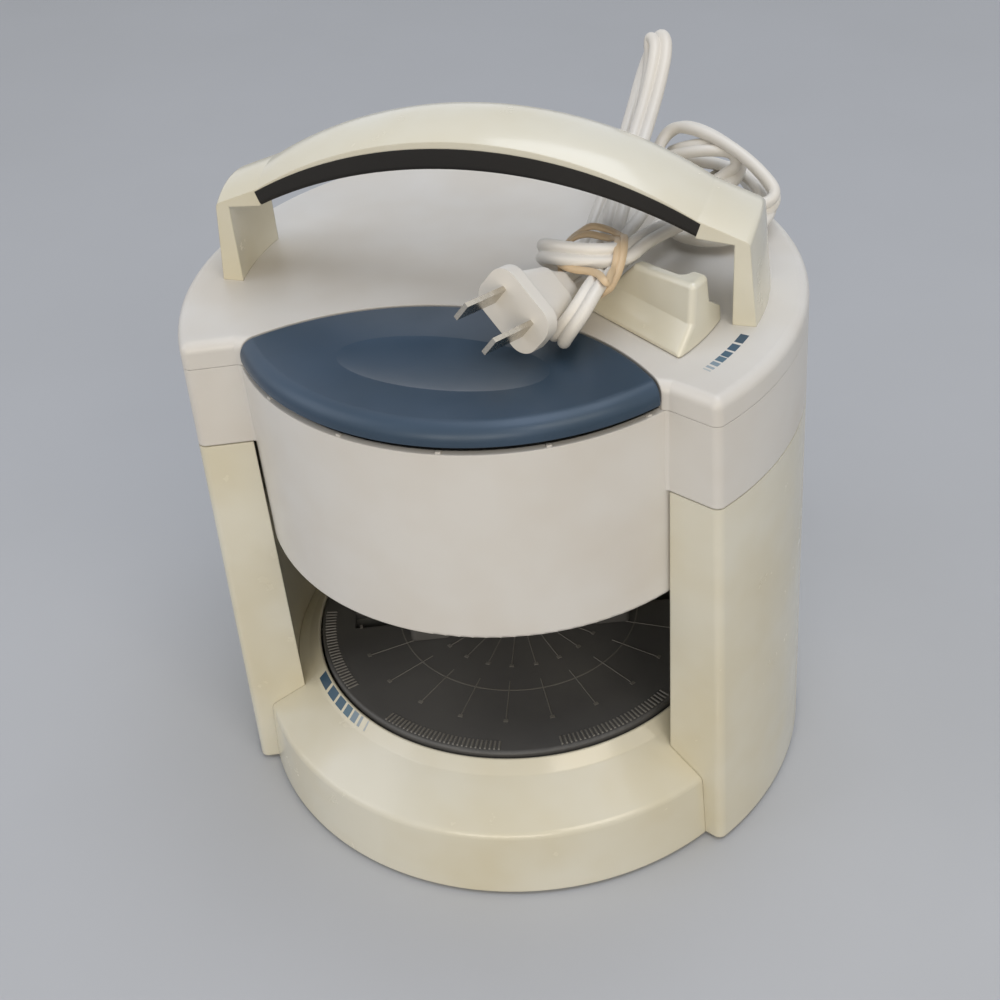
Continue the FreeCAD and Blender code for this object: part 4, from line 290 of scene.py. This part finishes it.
# The rubber band, twice round the bundle: its line and the way its broad face looks.
BAND_ROUTE = [
    # the outer turn, over the bundle, down its right side and under the folded strand
    ((29.8, 2.5, 202.0), (-0.5, -0.3, 0.8)),
    ((32.7, 3.0, 203.9), (-0.1, -0.6, 0.8)),
    ((36.0, 2.5, 204.0), (0, -0.6, 0.8)),
    ((39.6, 2.0, 203.4), (0.3, -0.2, 0.9)),
    ((42.8, 0.5, 202.6), (0.2, -0.3, 0.9)),
    ((45.4, -5.5, 206.2), (0.2, -0.3, 0.9)),
    ((47.0, -12.0, 208.0), (0.3, -0.4, 0.9)),
    ((48.0, -17.5, 206.8), (0.5, -0.7, 0.6)),
    ((47.8, -22.2, 203.6), (0.5, -0.8, 0.3)),
    ((47.2, -26.0, 202.6), (0.4, -0.8, 0.4)),
    ((46.6, -30.0, 201.6), (0.8, -0.6, 0.1)),
    ((43.0, -29.0, 197.6), (0.4, -0.3, -0.8)),
    ((38.0, -18.0, 193.0), (0, -0.3, -1)),
    ((30.0, -6.0, 187.4), (-0.3, 0, -1)),
    ((23.6, -2.0, 188.6), (-0.8, 0, -0.6)),
    ((24.0, -2.0, 196.0), (-1, 0, 0.2)),
    # the inner turn, in front of it
    ((28.0, -1.0, 201.6), (-0.6, -0.2, 0.7)),
    ((32.8, -0.5, 203.2), (-0.1, -0.6, 0.8)),
    ((37.0, -0.5, 202.4), (0, -0.5, 0.9)),
    ((40.8, -1.0, 202.2), (0.2, -0.4, 0.9)),
    ((43.4, -6.0, 205.2), (0, -0.4, 0.9)),
    ((45.2, -12.5, 208.0), (0.1, -0.4, 0.9)),
    ((46.2, -17.6, 207.2), (0.3, -0.8, 0.5)),
    ((46.4, -22.0, 204.2), (0.3, -0.9, 0.3)),
    ((46.0, -26.5, 204.8), (0.4, -0.8, 0.5)),
    ((46.6, -31.6, 204.2), (0.8, -0.5, 0.5)),
    # back over that strand, then left under the strand in front
    ((45.0, -31.0, 205.6), (0.2, -0.7, 0.7)),
    ((42.6, -27.0, 205.0), (0, -0.7, 0.7)),
    ((38.6, -24.0, 203.8), (-0.1, -0.8, 0.6)),
    ((34.6, -22.3, 202.7), (-0.1, -0.8, 0.6)),
    ((30.0, -19.6, 202.2), (-0.4, -0.8, 0.5)),
    ((25.4, -12.0, 199.5), (-0.8, -0.5, 0.2)),
    ((24.4, -4.0, 198.6), (-0.9, -0.2, 0.4)),
    ((27.0, 1.0, 200.4), (-0.6, -0.2, 0.7)),
]
BAND_OUTLINE = [
    (-1.0, -0.4),
    (-1.15, 0),
    (-1.0, 0.4),
    (0, 0.5),
    (1.0, 0.4),
    (1.15, 0),
    (1.0, -0.4),
    (0, -0.5),
]

band, _ = ribbon("rubber_band", BAND_ROUTE, BAND_OUTLINE, closed=True)
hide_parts("cord_tie")
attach(band, "head")


# ---------------------------------------------------------------- low relief

# Longest step of an arc, in degrees.
ARC_STEP = 1.0


def curved_patch(name, patches, height, z, rise=0.0):
    """Thin raised patches, each (inner radius, outer radius, first angle, last angle).

    z is the height of the face under their outer edges, and rise is how much higher that face
    lies under their inner edges.
    """
    points, faces = [], []
    high = z + rise
    for inner, outer, first, last in patches:
        steps = max(2, int(abs(last - first) / ARC_STEP) + 1)
        base = len(points)
        section = ((inner, high), (inner, high + height), (outer, z + height), (outer, z))
        for i in range(steps + 1):
            angle = first + (last - first) * i / steps
            points += [on_circle(radius, angle, level) for radius, level in section]
        for i in range(steps):
            this, following = base + 4 * i, base + 4 * (i + 1)
            for j in range(4):
                k = (j + 1) % 4
                faces.append((this + j, this + k, following + k, following + j))
        faces.append(tuple(range(base, base + 4)))
        faces.append(tuple(range(base + 4 * steps, base + 4 * steps + 4)))
    return new_object(name, points, faces, smooth=False)


# Width of a ridge's top, as a share of its foot.
RIDGE_TOP = 0.5


def ridge_points(start, end, width, height):
    """Corners of a low ridge with sloping sides from start to end, both on the surface."""
    along = (end - start).normalized()
    across = along.cross(UP) * (width / (2 * MM_IN_M))
    up = UP * (height / MM_IN_M)
    inwards = along * (height / MM_IN_M)
    low = [start - across, start + across, end + across, end - across]
    high = [
        start - across * RIDGE_TOP + inwards + up,
        start + across * RIDGE_TOP + inwards + up,
        end + across * RIDGE_TOP - inwards + up,
        end - across * RIDGE_TOP - inwards + up,
    ]
    return low + high


RIDGE_FACES = [(4, 5, 6, 7), (0, 1, 5, 4), (1, 2, 6, 5), (2, 3, 7, 6), (3, 0, 4, 7), (3, 2, 1, 0)]


def ridges(name, runs, width, height):
    """One piece made of many low ridges; runs are (start, end) points on the surface."""
    points, faces = [], []
    for start, end in runs:
        base = len(points)
        points += ridge_points(start, end, width, height)
        faces += [tuple(base + i for i in face) for face in RIDGE_FACES]
    return new_object(name, points, faces, smooth=False)


# ---------------------------------------------------------------- finishes


def linear(code):
    """A colour written as an sRGB hex value, as linear red, green, blue and alpha."""
    parts = [int(code[i : i + 2], 16) / 255 for i in (0, 2, 4)]
    rgb = [c / 12.92 if c <= 0.04045 else ((c + 0.055) / 1.055) ** 2.4 for c in parts]
    return (*rgb, 1.0)


def per_metre(size):
    """Texture scale of a pattern whose features are that many millimetres apart."""
    return MM_IN_M / size


def add_node(tree, kind, feeds=None, **settings):
    """Adds a shader node; feeds gives its inputs, each a value or another node's output."""
    node = tree.nodes.new("ShaderNode" + kind)
    for name, value in settings.items():
        setattr(node, name, value)
    for socket, value in (feeds or {}).items():
        if isinstance(value, bpy.types.NodeSocket):
            tree.links.new(value, node.inputs[socket])
        else:
            node.inputs[socket].default_value = value
    return node


def new_finish(name, **surface):
    """A material with its shader; surface sets the shader's own sockets."""
    material = bpy.data.materials.new(name)
    material.use_nodes = True
    tree = material.node_tree
    tree.nodes.clear()
    shader = add_node(tree, "BsdfPrincipled", surface)
    add_node(tree, "OutputMaterial", {"Surface": shader.outputs["BSDF"]})
    place = add_node(tree, "TexCoord").outputs["Object"]
    return material, tree, shader, place


def two_shades(tree, share, first, second):
    """A colour that drifts between two hex shades."""
    mix = add_node(
        tree, "Mix", {0: share, 6: linear(first), 7: linear(second)}, data_type="RGBA"
    )
    return mix.outputs[2]


# Widths in mm of the patches where a colour has aged, and where hands have polished the surface.
AGED_PATCH, HANDLED_PATCH = 55, 14
# A metal's streaks run along z, far longer than they are wide.
STREAK_SHAPE = (1.0, 1.0, 0.08)


def moulded_plastic(name, shade, aged, roughness, polish, grain, depth, edge=0.6, **surface):
    """ABS from a steel mould: even colour that has aged unevenly, a fine grain and softened edges.

    Its roughness drops to polish where it was handled. grain is the width of the mould's texture
    and depth its height, in mm, and edge the radius of its edges.
    """
    lacquer = {"IOR": 1.53, "Coat Roughness": 0.12, "Coat IOR": 1.5}
    material, tree, shader, place = new_finish(name, **{**lacquer, **surface})

    def noise(size, detail, **more):
        feeds = {"Vector": place, "Scale": per_metre(size), "Detail": detail, **more}
        return add_node(tree, "TexNoise", feeds).outputs["Fac"]

    clouds = noise(AGED_PATCH, 3.0, Roughness=0.55)
    drift = add_node(tree, "MapRange", {"Value": clouds, "From Min": 0.38, "From Max": 0.66})
    colour = two_shades(tree, drift.outputs["Result"], shade, aged)
    tree.links.new(colour, shader.inputs["Base Color"])

    handled = noise(HANDLED_PATCH, 6.0, Roughness=0.6)
    spread = {"From Min": 0.3, "From Max": 0.75, "To Min": polish, "To Max": roughness}
    sheen = add_node(tree, "MapRange", {"Value": handled, **spread})
    tree.links.new(sheen.outputs["Result"], shader.inputs["Roughness"])

    softened = add_node(tree, "Bevel", {"Radius": edge / MM_IN_M}, samples=6).outputs["Normal"]
    bump = add_node(
        tree,
        "Bump",
        {
            "Height": noise(grain, 2.0),
            "Distance": depth / MM_IN_M,
            "Strength": 0.6,
            "Normal": softened,
        },
    )
    tree.links.new(bump.outputs["Normal"], shader.inputs["Normal"])
    return material


def metal(name, shade, worn, roughness, streak):
    """A drawn or plated metal with fine streaks along its length; streak is their width in mm."""
    material, tree, shader, place = new_finish(name, **{"Metallic": 1.0})
    drawn = add_node(tree, "Mapping", {"Vector": place, "Scale": STREAK_SHAPE}).outputs["Vector"]
    noise = add_node(
        tree, "TexNoise", {"Vector": drawn, "Scale": per_metre(streak), "Detail": 3.0}
    ).outputs["Fac"]
    tree.links.new(two_shades(tree, noise, shade, worn), shader.inputs["Base Color"])
    dulled = {"To Min": roughness * 0.7, "To Max": roughness * 1.4}
    spread = add_node(tree, "MapRange", {"Value": noise, **dulled})
    tree.links.new(spread.outputs["Result"], shader.inputs["Roughness"])
    bump = add_node(tree, "Bump", {"Height": noise, "Distance": 0.00001, "Strength": 0.4})
    tree.links.new(bump.outputs["Normal"], shader.inputs["Normal"])
    return material


# By record slot. For a plastic: its shade, its aged shade, roughness, polish, grain and depth.
FINISHES = {
    # glossy white ABS that has yellowed unevenly: handle, stand and lever
    "cream": moulded_plastic(
        "glossy_abs_cream", "dedac9", "d6ceb4", 0.30, 0.17, 1.4, 0.010, **{"Coat Weight": 0.3}
    ),
    # satin ABS, cooler and pinker: deck and drum
    "shell": moulded_plastic(
        "satin_abs_shell", "d9d6d0", "d2ccc2", 0.46, 0.34, 0.9, 0.014, **{"Coat Weight": 0.05}
    ),
    # slate-blue metallic paint with a satin lacquer
    "button": moulded_plastic(
        "metallic_paint_blue",
        "3a4c5f",
        "324353",
        0.40,
        0.30,
        0.5,
        0.006,
        edge=0.4,
        **{"Metallic": 0.1, "Specular IOR Level": 0.3},
    ),
    # dark textured elastomer of the grip
    "grip": moulded_plastic(
        "textured_elastomer_grey",
        "1d1b19",
        "181614",
        0.66,
        0.52,
        0.7,
        0.04,
        **{"Specular IOR Level": 0.3},
    ),
    # dark grey rubber of the turntable, dusty
    "table": moulded_plastic("matt_rubber_grey", "5a5957", "4b4a49", 0.68, 0.5, 0.8, 0.03),
    # the same rubber, paler on its ridges
    "ridge": moulded_plastic(
        "pale_ridge_rubber_grey", "7d7a75", "68655f", 0.6, 0.45, 0.8, 0.01, edge=0.1
    ),
    # plain inside pieces: grey nylon, white acetal gears, dark phenolic blocks
    "inner": moulded_plastic("nylon_grey", "8e8d88", "7f7e79", 0.55, 0.4, 0.9, 0.01),
    "gear": moulded_plastic("acetal_white", "dcdad2", "cfccc2", 0.4, 0.3, 0.9, 0.005),
    "dark": moulded_plastic("phenolic_dark", "33302d", "292623", 0.5, 0.35, 0.8, 0.01),
    # green solder mask with a slight gloss
    "board": moulded_plastic("circuit_laminate_green", "2f5b3a", "28502f", 0.4, 0.3, 0.6, 0.005),
    # dull black rubber of the feet and the jaws' pads
    "pad": moulded_plastic("rubber_black", "2b2a29", "232221", 0.75, 0.6, 0.7, 0.03),
    # white vinyl sheath of the cord and the plug, slightly warm
    "cord": moulded_plastic(
        "soft_vinyl_white", "e6e2da", "ded8cd", 0.45, 0.34, 0.8, 0.008, edge=0.3
    ),
    # pale tan latex of the rubber band
    "band": moulded_plastic("latex_tan", "d9c09c", "cbae86", 0.55, 0.42, 0.6, 0.02, edge=0.2),
    # turned steel, turned brass and the plug's nickel plating
    "steel": metal("bright_steel", "c4c3c0", "b1b0ad", 0.28, 2.0),
    "brass": metal("turned_brass", "c9a961", "b8954d", 0.3, 2.0),
    "blade": metal("nickel_plated_brass", "cfcac0", "b9b2a5", 0.24, 1.2),
}


def node_slots(obj, finish):
    """Gives every material slot of an object that finish."""
    if not obj.data.materials:
        obj.data.materials.append(finish)
    for slot in obj.material_slots:
        slot.material = finish


def dress_nodes():
    """Gives every CAD node the finish of its record slot."""
    for piece in frame["record"]["subparts"]:
        node_slots(nodes[piece["node"]], FINISHES[piece["material_slot"]])


dress_nodes()
node_slots(cord, FINISHES["cord"])
node_slots(band, FINISHES["band"])


# ---------------------------------------------------------------- printed bars

# Graded bars, dark to light, as (first angle, last angle) round the axis.
RING_BARS = [
    (-142.0, -136.8),
    (-135.7, -131.9),
    (-131.0, -127.8),
    (-126.9, -124.5),
    (-123.7, -121.7),
    (-120.8, -119.9),
    (-118.1, -117.6),
]
DECK_BARS = [
    (-12.9, -16.1),
    (-16.8, -19.2),
    (-19.8, -21.7),
    (-22.0, -23.7),
    (-24.2, -25.4),
    (-26.0, -26.7),
    (-27.2, -27.6),
]
BAR_SHADES = ["2b4a60", "30526a", "38596e", "4f6d7f", "7d909d", "9aa6ae", "b3b9ba"]
RING_BAR_RADII, DECK_BAR_RADII = (75.9, 78.7), (85.3, 88.0)
# Height of the ring under its bars' outer edges and its rise to their inner edges, the deck's
# height, and the thickness of the ink on both.
RING_LEVEL, RING_RISE, DECK_LEVEL = 39.46, 2.68, 184.0
RING_INK, DECK_INK = 0.06, 0.03


def screen_ink(name, code):
    """Screen-printed ink: a thin satin film."""
    return moulded_plastic(name, code, code, 0.45, 0.35, 0.5, 0.004, edge=0.05)


def print_bars():
    for i, (code, on_ring, on_deck) in enumerate(zip(BAR_SHADES, RING_BARS, DECK_BARS), start=1):
        ink = screen_ink(f"printed_ink_{i}", code)
        ring = curved_patch(
            f"ring_bar_{i}", [(*RING_BAR_RADII, *on_ring)], RING_INK, RING_LEVEL, RING_RISE
        )
        deck = curved_patch(f"deck_bar_{i}", [(*DECK_BAR_RADII, *on_deck)], DECK_INK, DECK_LEVEL)
        for piece, body, home in ((ring, "stand", "cream"), (deck, "head", "shell")):
            node_slots(piece, ink)
            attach(piece, body)


print_bars()


# ---------------------------------------------------------------- turntable's grip pattern

TABLE_TOP = 44.0
# The short ridges along the rim: groups, ridges in a group, first angle, pitch and radii.
RIM_GROUPS, RIM_RIDGES, RIM_FIRST, RIM_PITCH, RIM_RADII = 7, 28, -113.5, 1.27, (68.6, 72.8)
# The long radial ridges, in two lengths.
SPOKES, FIRST_SPOKE = 23, -93.8
SPOKE_RADII = ((14, 32), (40, 59))
# Their raised ends: radius and half the angle of each, and half their length.
SPOKE_ENDS, END_HALF = ((32.3, 1.4), (59.3, 0.8)), 0.6
# The thin ridge all round, and the angle of one of its pieces.
ROUND_RADII, ROUND_STEP = (44.3, 44.8), 3
# Direction of the jar jaws' slots at rest, in degrees, and the room that ridges leave beside it.
JAW_LINE, SLOT_ROOM = 20.0, 4.8


def radial(radii, angle):
    """Both ends of a line along that angle on the turntable's top."""
    return tuple(on_circle(radius, angle, TABLE_TOP) for radius in radii)


def clear_of_slots(angle):
    """The radial ridges at that angle that run beside the jar jaws' slots."""
    beside = abs(math.sin(math.radians(angle - JAW_LINE)))
    return [radial(radii, angle) for radii in SPOKE_RADII if radii[0] * beside > SLOT_ROOM]


def mould_turntable():
    """The grip pattern that is moulded into the turntable's rubber."""
    rim = [
        radial(RIM_RADII, RIM_FIRST + group * 360 / RIM_GROUPS + i * RIM_PITCH)
        for group in range(RIM_GROUPS)
        for i in range(RIM_RIDGES)
    ]
    angles = [FIRST_SPOKE + i * 360 / SPOKES for i in range(SPOKES)]
    spokes = [run for angle in angles for run in clear_of_slots(angle)]
    ends = [
        (radius - END_HALF, radius + END_HALF, angle - half, angle + half)
        for angle in angles
        for radius, half in SPOKE_ENDS
    ]
    circle = [(*ROUND_RADII, a, a + ROUND_STEP) for a in range(0, 360, ROUND_STEP)]
    pieces = (
        ridges("rim_ridges", rim, width=0.8, height=0.35),
        ridges("radial_ridges", spokes, width=0.45, height=0.15),
        curved_patch("ridge_ends", ends, 0.2, TABLE_TOP),
        curved_patch("round_ridge", circle, 0.1, TABLE_TOP),
    )
    for piece in pieces:
        node_slots(piece, FINISHES["ridge"])
        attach(piece, "turntable")


mould_turntable()


# ---------------------------------------------------------------- floor and light

FLOOR_HALF = 3.0
# Where the lamps point.
AIM = Vector((0, 0, 0.12))


def lay_floor():
    """A pale, almost even table top."""
    corners = [(-1, -1), (1, -1), (1, 1), (-1, 1)]
    points = [(x * FLOOR_HALF, y * FLOOR_HALF, 0) for x, y in corners]
    floor = new_object("floor", points, [(0, 1, 2, 3)], smooth=False)
    material, tree, shader, place = new_finish("pale_table", **{"Roughness": 0.6, "IOR": 1.45})
    noise = add_node(tree, "TexNoise", {"Vector": place, "Scale": per_metre(120), "Detail": 4.0})
    shade = two_shades(tree, noise.outputs["Fac"], "bfc1c5", "b8babd")
    tree.links.new(shade, shader.inputs["Base Color"])
    node_slots(floor, material)


lay_floor()


def area_light(name, place, size, power, code):
    """A soft rectangular lamp that points at AIM; its place and size are in metres."""
    data = bpy.data.lights.new(name, "AREA")
    data.shape = "RECTANGLE"
    data.size, data.size_y = size
    data.energy = power
    data.color = linear(code)[:3]
    lamp = bpy.data.objects.new(name, data)
    bpy.context.scene.collection.objects.link(lamp)
    lamp.location = place
    lamp.rotation_euler = (AIM - Vector(place)).to_track_quat("-Z", "Y").to_euler()


def fill_room():
    """A soft even room, seen as plain white by the camera, in reflections and through glass."""
    world = bpy.data.worlds.new("room")
    world.use_nodes = True
    bpy.context.scene.world = world
    tree = world.node_tree
    tree.nodes.clear()
    rays = add_node(tree, "LightPath").outputs
    mirrored = add_node(
        tree,
        "Math",
        {0: rays["Is Glossy Ray"], 1: rays["Is Transmission Ray"]},
        operation="MAXIMUM",
    )
    direct = add_node(
        tree, "Math", {0: rays["Is Camera Ray"], 1: mirrored.outputs[0]}, operation="MAXIMUM"
    )
    soft = add_node(tree, "Background", {"Color": linear("e8ebf0"), "Strength": 0.4})
    white = add_node(tree, "Background", {"Color": linear("ffffff"), "Strength": 1.0})
    seen = add_node(
        tree, "MixShader", {0: direct.outputs[0], 1: soft.outputs[0], 2: white.outputs[0]}
    )
    add_node(tree, "OutputWorld", {"Surface": seen.outputs[0]})


def light_room():
    area_light("ceiling_light", (0.25, 0.1, 1.5), (1.2, 0.8), 8, "edf3ff")
    area_light("window_light", (0.9, -0.9, 1.1), (0.7, 0.7), 5, "fff4e2")
    area_light("fill_light", (-1.1, -0.6, 0.9), (0.9, 0.9), 3.5, "f1f2f8")
    area_light("front_light", (0.15, -1.5, 0.45), (1.0, 0.6), 6, "fff3e0")
    fill_room()


light_room()
bpy.context.scene.view_settings.view_transform = "Standard"
